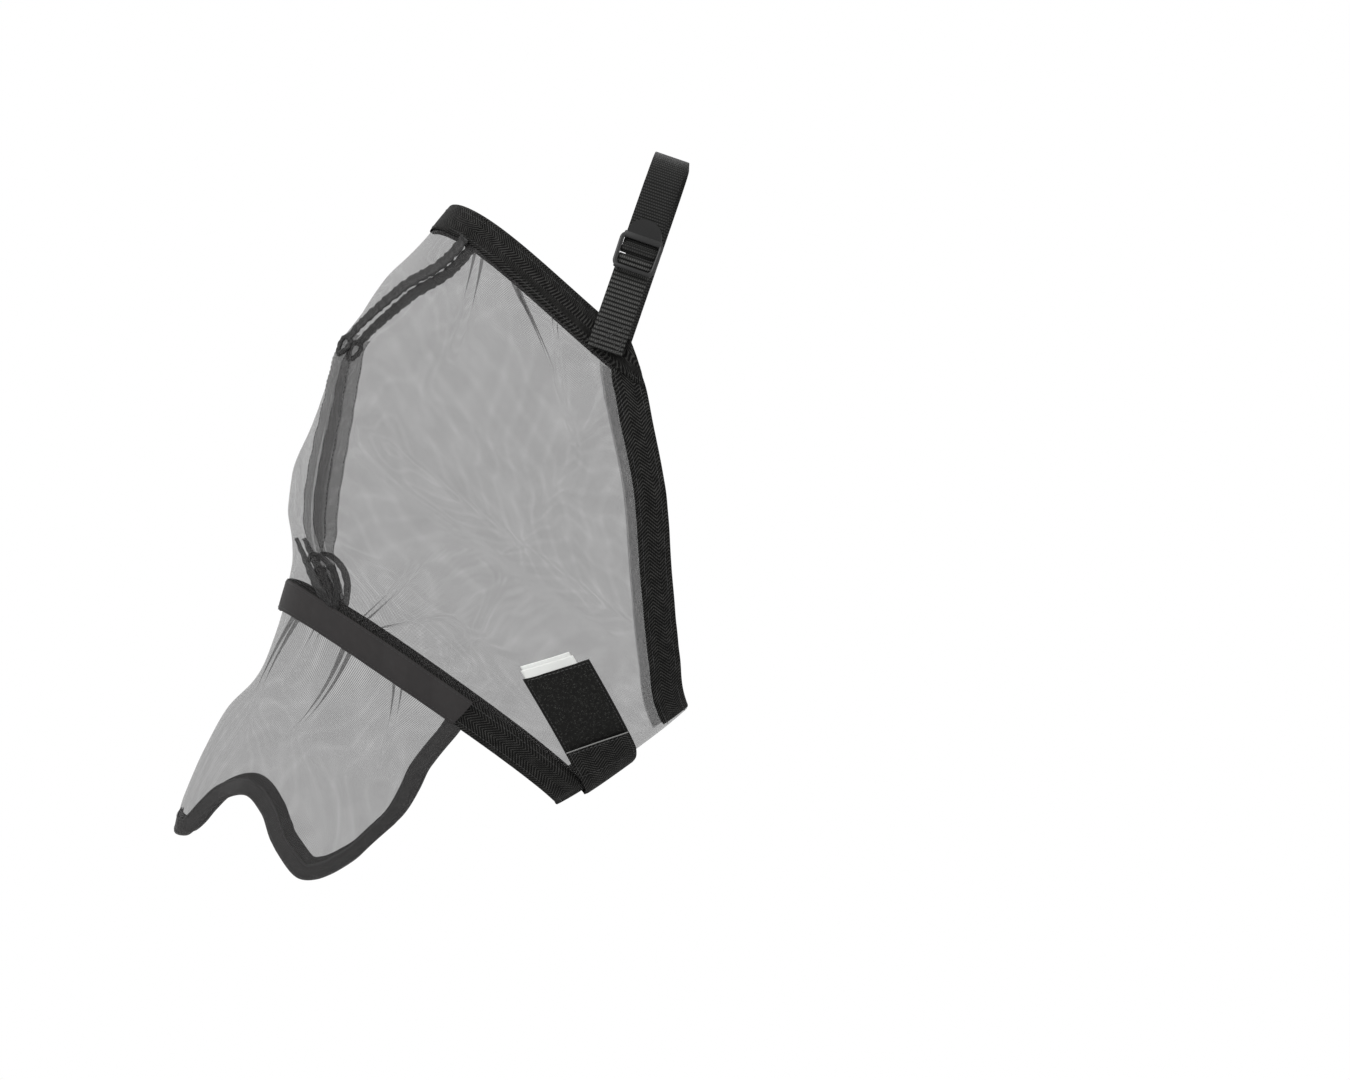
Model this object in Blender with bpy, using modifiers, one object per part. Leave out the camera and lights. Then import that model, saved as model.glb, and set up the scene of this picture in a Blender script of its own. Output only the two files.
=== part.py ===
"""Horse fly mask with a nose flap, shaped as it sits on the head.

Metres, +Z up. The horse faces -X and its left (near) side is at -Y. The origin is where the
crown strap rests on the poll. The face pieces are laid on a smooth form of the head, whose
sections lie square to the line of the face.
"""

import math

import bmesh
import bpy
import numpy as np
from mathutils import Matrix, Vector

# Stance: how the strap and the face lean, seen from the side
STRAP_LEAN = math.radians(19.0)
FACE_TILT = math.radians(35.0)
CROWN_DROP = 0.136
JUNCTION_DOWN = 0.005
JUNCTION_DEPTH = 0.1475

# Cloth, tape and webbing
MESH_THICK = 0.0008
TAPE_WIDTH = 0.021
TAPE_THICK = 0.0008
BAND_THICK = 0.0009
DART_THICK = 0.0020
HEM_WIDTH = 0.011
WEB_WIDTH = 0.025
WEB_THICK = 0.0015
GAP = 0.0003
SEAM_GAP = 0.0006
TAPE_GAP = 0.0006
FOLD_REACH = 0.0009

# The head form: down the face from the brow, then the value there
FRONT_LINE = [
    (-0.020, 0.001), (0.0, -0.001), (0.030, -0.003), (0.060, -0.008), (0.110, -0.007),
    (0.150, 0.003), (0.200, 0.013), (0.232, 0.026), (0.262, 0.052), (0.293, 0.064),
    (0.346, 0.076), (0.372, 0.073), (0.404, 0.077), (0.437, 0.084), (0.470, 0.097),
]
JAW_LINE = [
    (-0.020, 0.330), (0.060, 0.345), (0.120, 0.352), (0.185, 0.341), (0.238, 0.325),
    (0.293, 0.303), (0.346, 0.262), (0.400, 0.236), (0.470, 0.222),
]
HALF_WIDTH = [
    (-0.020, 0.095), (0.015, 0.095), (0.080, 0.107), (0.130, 0.106), (0.190, 0.096),
    (0.240, 0.082), (0.293, 0.070), (0.346, 0.059), (0.410, 0.058), (0.470, 0.046),
]
SQUARENESS = [(-0.020, 2.6), (0.120, 2.6), (0.240, 2.4), (0.293, 2.3), (0.346, 2.2), (0.470, 2.3)]
JAW_TAPER = [(-0.020, 0.05), (0.060, 0.25), (0.190, 0.45), (0.293, 0.42), (0.346, 0.30), (0.470, 0.25)]

# Edges of the mask on that form
BROW_MIDLINE_DOWN = -0.008
BROW_CORNER_DOWN = -0.003
BROW_ARCH = 0.010
NOSE_MIDLINE_DOWN = 0.293
NOSE_ARCH = 0.007
JAW_TURN = 0.985
EDGE_SLANT = 1.42
REAR_EDGE = [
    (-0.010, 0.150), (0.006, 0.175), (0.034, 0.204), (0.067, 0.238), (0.117, 0.279),
    (0.158, 0.314), (0.183, 0.338), (0.200, 0.400), (0.300, 0.600),
]

# Eye seams: where each runs round the face, how far it stands off, how wide its band is
SEAM_TURN = [(-0.020, 0.205), (0.007, 0.205), (0.115, 0.150), (0.200, 0.205), (0.241, 0.235), (0.300, 0.300)]
SEAM_LIFT = [(-0.020, 0.0), (0.010, 0.0), (0.060, 0.006), (0.115, 0.012), (0.170, 0.009), (0.230, 0.004), (0.280, 0.0)]
SEAM_BAND = [(-0.020, 0.009), (0.100, 0.009), (0.128, 0.023), (0.225, 0.023), (0.250, 0.010), (0.300, 0.010)]
SEAM_SPREAD = 0.07
BROW_DART_END = 0.118
NOSE_DART_START = 0.232

# Nose flap: along its free edge from the front to its corner at the noseband, the turn and the distance down
# of the edge, and the turn at which the mesh that hangs to that place leaves the noseband
FLAP_EDGE = [
    (0.0, 0.458, 0.0), (0.12, 0.4620, 0.09), (0.190, 0.4595, 0.14), (0.237, 0.4505, 0.17), (0.268, 0.4385, 0.19),
    (0.305, 0.4230, 0.215), (0.37, 0.411, 0.245), (0.435, 0.4165, 0.28), (0.52, 0.432, 0.315), (0.60, 0.4375, 0.345), (0.66, 0.431, 0.365),
    (0.701, 0.4176, 0.38), (0.722, 0.3994, 0.395), (0.708, 0.3711, 0.415), (0.658, 0.3454, 0.435),
    (0.610, 0.3258, 0.450), (0.583, 0.3070, 0.460), (0.567, 0.2885, 0.470),
]
FLAP_FOLD = 0.0035
FLAP_FOLD_TURN = 0.257
FLAP_FOLD_DROP = 0.15
HEM_SMOOTHING = 0.045
FLAP_CLEARANCE = 0.0024
HEADER_TURN = 0.585

# Ladder-lock buckle, measured along the near leg of the crown strap from the mask's corner
LEG_LEAN = math.radians(8.0)
TAB_FOOT = 0.008
TAB_RISE = 0.016
RIM_AT = 0.0505
FIXED_BAR_AT = 0.057
TURN_BAR_AT = 0.0645
LOCK_BAR_AT = 0.074
BAR_RADIUS = 0.0015
RIM_HEIGHT = 0.0032
RIM_STAND = 0.0070
RIM_THICK = 0.0024
LOCK_BAR_HEIGHT = 0.005
LOCK_BAR_THICK = 0.003
RAIL_WIDTH = 0.0025
RAIL_CLEARANCE = 0.0005
THUMB_REACH = 0.014
THUMB_THICK = 0.0022
THUMB_LIFT = math.radians(16.0)
TURN_EASE = 0.0009
TAIL_REACH = 0.030
CROWN_FLAT = 0.030
CROWN_SHOULDER = 0.100

# Under-jaw closure, by distance down the face and round from the under-jaw midline
CLOSURE_DOWN = 0.256
CLOSURE_WIDTH = 0.041
CLOSURE_SLANT = math.radians(21.0)
CLOSURE_EASE = 0.030
TAB_REACH = 0.047
TAB_HINGE = -0.006
TAB_BASE = 0.034
TAB_THICK = 0.0010
LOOP_START = 0.018
LOOP_END = 0.118
LOOP_THICK = 0.0018
HOOK_LENGTH = 0.026
HOOK_THICK = 0.0012
LAY_CLEARANCE = 0.0008
HINGE_GAP = 0.0010
LABEL_WIDTH = 0.030
LABEL_HEIGHT = 0.011
LABEL_OFFSET = 0.003
LABEL_THICK = 0.0006

# Mesh counts
FOREHEAD_COLUMNS = 12
CHEEK_COLUMNS = 9
UPPER_ROWS = 11
LOWER_ROWS = 6
FLAP_COLUMNS = 56
FLAP_ROWS = 7

# Finishes: colour, roughness
FINISHES = {
    "mesh": ((0.030, 0.029, 0.029), 0.75),
    "tape": ((0.022, 0.021, 0.020), 0.85),
    "webbing": ((0.016, 0.016, 0.015), 0.80),
    "plastic": ((0.020, 0.020, 0.020), 0.42),
    "hook_and_loop": ((0.012, 0.012, 0.011), 0.95),
    "label": ((0.80, 0.81, 0.79), 0.60),
}


def curve_through(points):
    """A smooth curve through the points that never overshoots between them."""
    xs, ys = np.array(points, float).T
    steps = np.diff(ys) / np.diff(xs)
    inner = np.where(steps[1:] * steps[:-1] > 0, 2 * steps[1:] * steps[:-1] / (steps[1:] + steps[:-1] + 1e-12), 0.0)
    slopes = np.concatenate([[steps[0]], inner, [steps[-1]]])

    def at(x):
        i = int(np.clip(np.searchsorted(xs, x) - 1, 0, len(steps) - 1))
        span = xs[i + 1] - xs[i]
        t = min(max((x - xs[i]) / span, 0.0), 1.0)
        over = x - min(max(x, xs[0]), xs[-1])
        rise = (2 * t**3 - 3 * t**2 + 1) * ys[i] + (3 * t**2 - 2 * t**3) * ys[i + 1]
        bend = (t**3 - 2 * t**2 + t) * slopes[i] + (t**3 - t**2) * slopes[i + 1]
        return rise + span * bend + over * (slopes[0] if over < 0 else slopes[-1])

    return at


front_line = curve_through(FRONT_LINE)
jaw_line = curve_through(JAW_LINE)
half_width = curve_through(HALF_WIDTH)
squareness = curve_through(SQUARENESS)
jaw_taper = curve_through(JAW_TAPER)
rear_edge = curve_through(REAR_EDGE)
seam_turn_at = curve_through(SEAM_TURN)
seam_lift_at = curve_through(SEAM_LIFT)
seam_band_at = curve_through(SEAM_BAND)
flap_places = [i / (len(FLAP_EDGE) - 1) for i in range(len(FLAP_EDGE))]
flap_turn_at, flap_down_at, flap_root_at = (curve_through(list(zip(flap_places, values))) for values in zip(*FLAP_EDGE))


# The head form

def form_point(down, turn):
    """A point of the head: turn 0 is the front midline and 1 the under-jaw midline, minus for the near side."""
    angle = math.pi * abs(turn)
    power = 2.0 / squareness(down)
    along = math.copysign(abs(math.cos(angle)) ** power, math.cos(angle))
    share = 0.5 - 0.5 * along
    front = front_line(down)
    width = half_width(down) * abs(math.sin(angle)) ** power * (1 - jaw_taper(down) * share**1.5)
    return np.array([front + share * (jaw_line(down) - front), math.copysign(width, turn), -down])


def outward(point_at, down, across, step=0.0015):
    """Unit normal of a surface that is given by distance down the face and a place across it."""
    along = point_at(down + step, across) - point_at(down - step, across)
    round_ = point_at(down, across + step) - point_at(down, across - step)
    normal = np.cross(round_, along)
    return normal / np.linalg.norm(normal)


def skin(down, turn, height=0.0):
    """A point of the worn mesh, which stands off the form along the eye seams."""
    across = (abs(turn) - seam_turn_at(down)) / SEAM_SPREAD
    lift = seam_lift_at(down) * math.exp(-across * across)
    return form_point(down, turn) + outward(form_point, down, turn) * (lift + height)


def depth_at(down, turn):
    return form_point(down, turn)[0]


def turn_step(down, turn, distance):
    """The change of turn that goes a given distance round the section."""
    step = 0.004
    length = np.linalg.norm(form_point(down, turn + step) - form_point(down, turn - step))
    return distance * 2 * step / length


def solve(rising, low, high):
    """Where a rising function crosses zero."""
    for _ in range(40):
        middle = (low + high) / 2
        low, high = (low, middle) if rising(middle) > 0 else (middle, high)
    return (low + high) / 2


# Rows and columns of the face: row 0 to 1 is the brow tape, 1 to 2 the mesh, 2 to 3 the nose tape

def row_down(row, turn):
    reach = min(abs(turn) / CORNER_TURN, 1.0)
    brow = BROW_MIDLINE_DOWN + (BROW_CORNER_DOWN - BROW_MIDLINE_DOWN) * reach
    brow -= BROW_ARCH * math.sin(math.pi * reach)
    nose = NOSE_MIDLINE_DOWN - NOSE_ARCH * math.sin(math.pi * abs(turn))
    top, bottom = brow + TAPE_WIDTH, nose - TAPE_WIDTH
    if row < 1:
        return brow + row * TAPE_WIDTH
    if row > 2:
        return bottom + (row - 2) * TAPE_WIDTH
    return top + (row - 1) * (bottom - top)


def seam_turn(row):
    return seam_turn_at(row_down(row, SEAM_TURN[0][1]))


def rear_turn(row):
    """Where a row meets the rear edge, or stops short of the under-jaw midline."""
    def past(turn):
        down = row_down(row, turn)
        return depth_at(down, turn) - rear_edge(down)

    return solve(past, 0.2, JAW_TURN)


def cheek_turn(row, column):
    """Column 0 to 1 is the seam band, 1 to 2 the mesh, 2 to 3 the jaw tape."""
    seam, rear = seam_turn(row), rear_turn(row)
    seam_down, rear_down = row_down(row, seam), row_down(row, rear)
    band = turn_step(seam_down, seam, seam_band_at(seam_down) / 2)
    start = seam + turn_step(seam_down, seam, SEAM_GAP / 2)
    slope = (rear_edge(rear_down + 0.002) - rear_edge(rear_down - 0.002)) / 0.004
    slant = min(math.hypot(1, slope), EDGE_SLANT) if rear < JAW_TURN - 0.001 else 1.0
    tape = turn_step(rear_down, rear - 0.02, TAPE_WIDTH * slant)
    if column < 1:
        return start + column * (seam + band - start)
    if column > 2:
        return rear + (column - 3) * tape
    return seam + band + (column - 1) * (rear - tape - seam - band)


def forehead_turn(row, column):
    """Column -1 and 1 are the seams' edges; the bands start a little inside them."""
    seam = seam_turn(row)
    down = row_down(row, seam)
    band = turn_step(down, seam, seam_band_at(down) / 2)
    edge = seam - turn_step(down, seam, SEAM_GAP / 2)
    inner = 1 - 2 / FOREHEAD_COLUMNS
    if abs(column) <= inner:
        return (seam - band) * column / inner
    share = (abs(column) - inner) / (1 - inner)
    return math.copysign(seam - band + share * (edge - seam + band), column)


CORNER_TURN = 0.5
JAW_ROW = solve(lambda row: rear_turn(row) - JAW_TURN + 0.002, 1.2, 2.0)
UPPER_LINES = [1 + (JAW_ROW - 1) * (1 - (1 - i / UPPER_ROWS) ** 1.4) for i in range(UPPER_ROWS + 1)]
LOWER_LINES = [JAW_ROW + (2 - JAW_ROW) * (i + 1) / LOWER_ROWS for i in range(LOWER_ROWS)]
BODY_LINES = UPPER_LINES + LOWER_LINES
ROW_LINES = [0.0, 0.5] + BODY_LINES + [2.5, 3.0]
CHEEK_LINES = [0.0] + [1 + i / CHEEK_COLUMNS for i in range(CHEEK_COLUMNS + 1)] + [2.5, 3.0]
FOREHEAD_LINES = [-1 + 2 * i / FOREHEAD_COLUMNS for i in range(FOREHEAD_COLUMNS + 1)]
TAPE_BED = MESH_THICK / 2 + TAPE_GAP
HEM_BED = TAPE_BED + 1.5 * GAP
CLOSURE_BED = MESH_THICK / 2 + LAY_CLEARANCE + LOOP_THICK + HOOK_THICK + 2 * GAP
BODY_GAP = SEAM_GAP / (row_down(2, 0.2) - row_down(1, 0.2))


# Under-jaw surface, by distance round from the midline: plus on the near side, minus on the far side

def jaw_point(down, round_):
    turns = np.linspace(0.0, 0.65, 66) ** 1.6
    points = np.array([form_point(down, -(1 - t)) for t in turns])
    lengths = np.concatenate([[0], np.cumsum(np.linalg.norm(np.diff(points, axis=0), axis=1))])
    place = [np.interp(abs(round_), lengths, points[:, i]) for i in range(3)]
    return np.array([place[0], place[1] if round_ > 0 else -place[1], place[2]])


def jaw_skin(down, round_, height):
    return jaw_point(down, round_) + outward(jaw_point, down, round_, 0.003) * height


def closure_place(across, round_, height):
    """A point of the slanted closure: across its width and round from the under-jaw midline."""
    near = max(round_, 0.0)
    ease = min(near / CLOSURE_EASE, 1.0)
    down = CLOSURE_DOWN + across * math.cos(CLOSURE_SLANT) - near * math.sin(CLOSURE_SLANT)
    return jaw_skin(down, round_ * math.cos(CLOSURE_SLANT) + ease * across * math.sin(CLOSURE_SLANT), height)


# Building blocks

def clear_scene():
    for obj in list(bpy.data.objects):
        bpy.data.objects.remove(obj, do_unlink=True)


def collection(name):
    made = bpy.data.collections.new(name)
    bpy.context.scene.collection.children.link(made)
    return made


def finish_of(name):
    made = bpy.data.materials.get(name)
    if made is None:
        colour, roughness = FINISHES[name]
        made = bpy.data.materials.new(name)
        made.use_nodes = True
        shader = made.node_tree.nodes["Principled BSDF"]
        shader.inputs["Base Color"].default_value = (*colour, 1.0)
        shader.inputs["Roughness"].default_value = roughness
        made.diffuse_color = (*colour, 1.0)
    return made


def empty(name, location, rotation, parent=None):
    made = bpy.data.objects.new(name, None)
    made.matrix_local = Matrix.Translation(location) @ rotation.to_4x4()
    made.parent = parent
    PARTS.objects.link(made)
    return made


def place(obj, parent, finish):
    obj.data.materials.append(finish_of(finish))
    obj.parent = parent
    PARTS.objects.link(obj)
    return obj


def sheet(name, point_at, inner_at, lines, columns, thickness, parent, finish, offset=0.0, origin=(0, 0, 0)):
    """A thin solid laid on point_at(line, column) that faces away from inner_at. Offset 1 thickens it outwards."""
    grid = bmesh.new()
    bmesh.ops.create_grid(grid, x_segments=len(lines) - 1, y_segments=len(columns) - 1, size=1.0)
    away = {}
    for vertex in grid.verts:
        line = lines[round((vertex.co.x + 1) / 2 * (len(lines) - 1))]
        column = columns[round((vertex.co.y + 1) / 2 * (len(columns) - 1))]
        vertex.co = Vector(point_at(line, column)) - Vector(origin)
        away[vertex] = vertex.co + Vector(origin) - Vector(inner_at(line, column))
    grid.normal_update()
    facing = sum(face.normal.dot(away[vertex]) * face.calc_area() for face in grid.faces for vertex in face.verts)
    if facing < 0:
        bmesh.ops.reverse_faces(grid, faces=grid.faces[:])
    mesh = bpy.data.meshes.new(name)
    grid.to_mesh(mesh)
    grid.free()
    made = place(bpy.data.objects.new(name, mesh), parent, finish)
    shell = made.modifiers.new("thickness", "SOLIDIFY")
    shell.thickness = thickness
    shell.offset = offset
    shell.use_even_offset = True
    made.location = origin
    mesh.shade_smooth()
    return made


def folded_tape(name, edge_at, lines, parent, finish, bed, origin=(0, 0, 0)):
    """Tape folded over a mesh edge: edge_at(line, inset, height), with inset 0 at the edge and 1 at the tape's border."""
    outer = [(inset, bed) for inset in (1.0, 0.5, 0.0)]
    fold = outer + [(None, 0.0)] + [(inset, -bed) for inset in (0.0, 0.5, 1.0)]

    def at(line, step):
        return edge_at(line, *fold[step])

    def middle(line, step):
        return edge_at(line, 0.5, 0.0)

    sheet(name, at, middle, lines, range(len(fold)), TAPE_THICK, parent, finish, 1.0, origin)


def outline(name, points, holes=(), depth=WEB_WIDTH):
    """A flat closed outline, with any holes in it, as a curve with that depth."""
    curve = bpy.data.curves.new(name, "CURVE")
    curve.dimensions = "2D"
    curve.fill_mode = "BOTH"
    curve.extrude = depth / 2
    for ring in [points, *holes]:
        spline = curve.splines.new("POLY")
        spline.points.add(len(ring) - 1)
        for point, (x, y) in zip(spline.points, ring):
            point.co = (x, y, 0, 1)
        spline.use_cyclic_u = True
    return bpy.data.objects.new(name, curve)


def as_mesh(obj):
    """The outline as a closed mesh object of the same name and place."""
    bpy.context.scene.collection.objects.link(obj)
    bpy.context.view_layer.update()
    mesh = bpy.data.meshes.new_from_object(obj.evaluated_get(bpy.context.evaluated_depsgraph_get()))
    welded = bmesh.new()
    welded.from_mesh(mesh)
    bmesh.ops.remove_doubles(welded, verts=welded.verts, dist=1e-6)
    bmesh.ops.recalc_face_normals(welded, faces=welded.faces)
    welded.to_mesh(mesh)
    welded.free()
    name, matrix = obj.name, obj.matrix_world.copy()
    bpy.data.objects.remove(obj, do_unlink=True)
    made = bpy.data.objects.new(name, mesh)
    made.matrix_world = matrix
    return made


def strip(path, thickness):
    """The closed outline of a strip of that thickness to the left of a path."""
    path = np.array(path, float)
    ahead = np.gradient(path, axis=0)
    ahead /= np.linalg.norm(ahead, axis=1)[:, None]
    left = np.stack([-ahead[:, 1], ahead[:, 0]], axis=1) * thickness
    corner = np.ones(len(path))
    for i in range(1, len(path) - 1):
        before = (path[i] - path[i - 1]) / np.linalg.norm(path[i] - path[i - 1])
        corner[i] = 1 / max(0.5, before @ ahead[i])
    return [tuple(p) for p in path] + [tuple(p) for p in (path + left * corner[:, None])[::-1]]


def arc(centre, radius, start, stop, steps):
    angles = np.radians(np.linspace(start, stop, steps + 1))
    return [(centre[0] + radius * math.cos(t), centre[1] + radius * math.sin(t)) for t in angles]


# Face pieces

def head_middle(line, column):
    """A point inside the head, behind every face piece."""
    return np.array([JUNCTION_DEPTH, 0.0, -NOSE_MIDLINE_DOWN / 2])


def face_at(turn_of, row, column, side, height):
    turn = side * turn_of(row, column)
    return skin(row_down(row, turn), turn, height)


def forehead_panel(face):
    def at(row, column):
        return face_at(forehead_turn, row, column, 1, 0.0)

    sheet("forehead_panel", at, head_middle, ROW_LINES, FOREHEAD_LINES, MESH_THICK, face, "mesh")


def cheek_panel(face, name, side):
    def at(row, column):
        return face_at(cheek_turn, row, column, side, 0.0)

    sheet(name + "_cheek_panel", at, head_middle, ROW_LINES, CHEEK_LINES, MESH_THICK, face, "mesh")


def all_round():
    """Every column from the near rear edge over the front to the far rear edge, as (finder, column, side)."""
    near = [(cheek_turn, column, -1) for column in reversed(CHEEK_LINES)]
    front = [(forehead_turn, column, 1) for column in FOREHEAD_LINES]
    far = [(cheek_turn, column, 1) for column in CHEEK_LINES]
    return near + front + far


def edge_tape(face, name, edge_row, inner_row):
    """The tape folded over the top or the bottom edge, from one rear edge to the other."""
    beyond = edge_row + (edge_row - inner_row) * FOLD_REACH / TAPE_WIDTH

    def at(line, inset, height):
        turn_of, column, side = line
        row = beyond if inset is None else edge_row + inset * (inner_row - edge_row)
        held = min(max(row, 0.0), 3.0)
        turn = side * turn_of(held, column)
        return skin(row_down(row, turn), turn, height)

    folded_tape(name, at, all_round(), face, "tape", TAPE_BED)


def jaw_tape(face, name, side):
    rows = [1 + BODY_GAP] + UPPER_LINES[1:-1]

    def at(row, inset, height):
        column = 3 + FOLD_REACH / TAPE_WIDTH if inset is None else 3 - inset
        return face_at(cheek_turn, row, column, side, height)

    folded_tape(name + "_jaw_tape", at, rows, face, "tape", HEM_BED)


def seam_piece(face, name, side, rows, thickness):
    """A band sewn over the seam between the forehead panel and a cheek panel."""
    inner = 1 - 2 / FOREHEAD_COLUMNS
    columns = [(forehead_turn, inner), (forehead_turn, 1.0), (cheek_turn, 0.0), (cheek_turn, 1.0)]

    def at(row, column):
        turn_of, place_ = column
        return face_at(turn_of, row, place_, side, TAPE_BED + GAP)

    sheet(name, at, head_middle, rows, columns, thickness, face, "mesh", 1.0)


def eye_seam(face, name, side):
    def rows_between(low, high):
        found = [row for row in BODY_LINES if low <= row_down(row, SEAM_TURN[0][1]) <= high]
        return [found[0] + BODY_GAP] + found[1:-1] + [found[-1] - BODY_GAP]

    last = row_down(2, SEAM_TURN[0][1])
    dart_rows = rows_between(0, BROW_DART_END)
    nose_rows = rows_between(NOSE_DART_START, last + SEAM_GAP)
    middle = [row for row in BODY_LINES if dart_rows[-1] - BODY_GAP <= row <= nose_rows[0] + BODY_GAP]
    middle_rows = [dart_rows[-1] + 2 * BODY_GAP] + middle[1:-1] + [nose_rows[0] - 2 * BODY_GAP]
    seam_piece(face, name + "_brow_dart", side, dart_rows, DART_THICK)
    seam_piece(face, name + "_eye_seam", side, middle_rows, BAND_THICK)
    seam_piece(face, name + "_nose_dart", side, nose_rows, DART_THICK)


# Nose flap

def flap_line(column):
    """Where a line of the flap's mesh leaves the noseband and where it reaches the free edge, each as (turn, down)."""
    side = math.copysign(1.0, column)
    root = flap_root_at(abs(column))
    start = np.array([side * root, row_down(3, root) + FLAP_CLEARANCE])
    return start, np.array([side * flap_turn_at(abs(column)), flap_down_at(abs(column))])


def flap_border(column):
    """The hem's border, square in from the free edge, as (turn, down)."""
    turn, down = flap_line(column)[1]
    (turn_before, down_before), (turn_after, down_after) = (flap_line(column + shift)[1] for shift in (-HEM_SMOOTHING, HEM_SMOOTHING))
    along = form_point(down_after, turn_after) - form_point(down_before, turn_before)
    inward = np.cross(along, outward(form_point, down, turn))
    inward *= HEM_WIDTH / np.linalg.norm(inward)
    step = 0.002
    round_ = (form_point(down, turn + step) - form_point(down, turn - step)) / (2 * step)
    below = (form_point(down + step, turn) - form_point(down - step, turn)) / (2 * step)
    border = np.array([turn, down]) + np.linalg.lstsq(np.stack([round_, below], axis=1), inward, rcond=None)[0]
    border[1] = max(border[1], row_down(3, abs(border[0])) + FLAP_CLEARANCE)
    return border


def flap_point(row, column, height=0.0):
    """Row 0 is the noseband, 1 the hem's border and 2 the free edge."""
    start, edge = flap_line(column)
    border = flap_border(column)
    turn, down = start + row * (border - start) if row <= 1 else border + (row - 1) * (edge - border)
    drop = min(max((down - row_down(3, abs(turn)) - FLAP_CLEARANCE) / FLAP_FOLD_DROP, 0.0), 1.0)
    ripple = FLAP_FOLD * drop * math.sin(math.pi * abs(turn) / FLAP_FOLD_TURN) ** 2
    return skin(down, turn, height + ripple)


def nose_flap(face, axis):
    columns = [-1 + 2 * i / FLAP_COLUMNS for i in range(FLAP_COLUMNS + 1)]
    rows = [i / FLAP_ROWS for i in range(FLAP_ROWS + 1)] + [1.5, 2.0]
    sheet("nose_flap", flap_point, head_middle, rows, columns, MESH_THICK, face, "mesh", 0.0, axis)

    def edge_at(column, inset, height):
        row = 2 + FOLD_REACH / HEM_WIDTH if inset is None else 2 - inset
        return flap_point(row, column, height)

    folded_tape("nose_flap_hem", edge_at, columns, face, "tape", HEM_BED, axis)


def flap_header(face):
    """The flap's upper hem, sewn over the outside of the noseband."""
    columns = [line for line in all_round() if abs(line[0](2.5, line[1])) <= HEADER_TURN]
    bed = TAPE_BED + TAPE_THICK + TAPE_GAP

    def at(row, line):
        turn_of, column, side = line
        return face_at(turn_of, row, column, side, bed)

    sheet("nose_flap_header", at, head_middle, [2.06, 2.5, 3.0], columns, BAND_THICK, face, "mesh", 1.0)


# Under-jaw closure

def closure(face, axis):
    across = [CLOSURE_WIDTH * (i / 4 - 0.5) for i in range(5)]
    loop_bed = MESH_THICK / 2 + LAY_CLEARANCE
    hook_bed = loop_bed + LOOP_THICK + GAP
    base_bed = TAPE_BED + TAPE_THICK + GAP

    def laid(name, start, stop, steps, bed, thickness, finish, origin=(0, 0, 0)):
        rounds = [start + (stop - start) * i / steps for i in range(steps + 1)]

        def at(round_, place_):
            return closure_place(place_, round_, bed)

        sheet(name, at, head_middle, rounds, across, thickness, face, finish, 1.0, origin)

    laid("loop_patch", LOOP_START, LOOP_END, 8, loop_bed, LOOP_THICK, "hook_and_loop")
    laid("hook_patch", TAB_REACH - HOOK_LENGTH, TAB_REACH - 0.001, 3, hook_bed, HOOK_THICK, "hook_and_loop", axis)
    laid("closure_tab", TAB_HINGE + HINGE_GAP, TAB_REACH, 8, CLOSURE_BED, TAB_THICK, "tape", axis)
    laid("closure_tab_base", TAB_HINGE - TAB_BASE, TAB_HINGE, 5, base_bed, TAB_THICK, "tape")

    label_across = [LABEL_WIDTH * (i / 3 - 0.5) + LABEL_OFFSET for i in range(4)]
    label_rounds = [LOOP_END + GAP + LABEL_HEIGHT * i / 2 for i in range(3)]

    def label_at(round_, place_):
        return closure_place(place_, round_, loop_bed)

    sheet("label", label_at, head_middle, label_rounds, label_across, LABEL_THICK, face, "label", 1.0)


# Crown strap and buckle, drawn in the strap's plane: across the head, then up

def leg_path(points):
    """Points given along the near leg and outward from it, in the strap's plane."""
    return [LEG_FOOT + along * LEG_WAY + out * LEG_OUT for along, out in points]


def leg_layers():
    return WEB_THICK + GAP + BAR_RADIUS


def crown_strap(plane):
    """From the turn bar over the poll to the far corner, where it is sewn down."""
    shoulder = LEG_FOOT + (CROWN_SHOULDER - TAB_RISE) * LEG_WAY
    start = LEG_FOOT + (TURN_BAR_AT - TAB_RISE + TURN_EASE) * LEG_WAY
    flat = np.array([-CROWN_FLAT / 2, 0.0])
    pull = 0.55 * np.linalg.norm(flat - shoulder)
    handles = [shoulder, shoulder + pull * LEG_WAY, flat - np.array([pull, 0]), flat]
    weights = [(math.comb(3, k)) for k in range(4)]
    bend = []
    for i in range(1, 11):
        t = i / 10
        bend.append(sum(w * t**k * (1 - t) ** (3 - k) * h for k, (w, h) in enumerate(zip(weights, handles))))
    near = [start, shoulder] + bend
    far = [np.array([-p[0], p[1]]) for p in reversed([LEG_FOOT, shoulder] + bend)]
    sewn = [np.array([-LEG_FOOT[0], LEG_FOOT[1] - TAB_RISE - TAB_FOOT])]
    place(as_mesh(outline("crown_strap", strip(near + far + sewn, WEB_THICK))), plane, "webbing")


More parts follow.
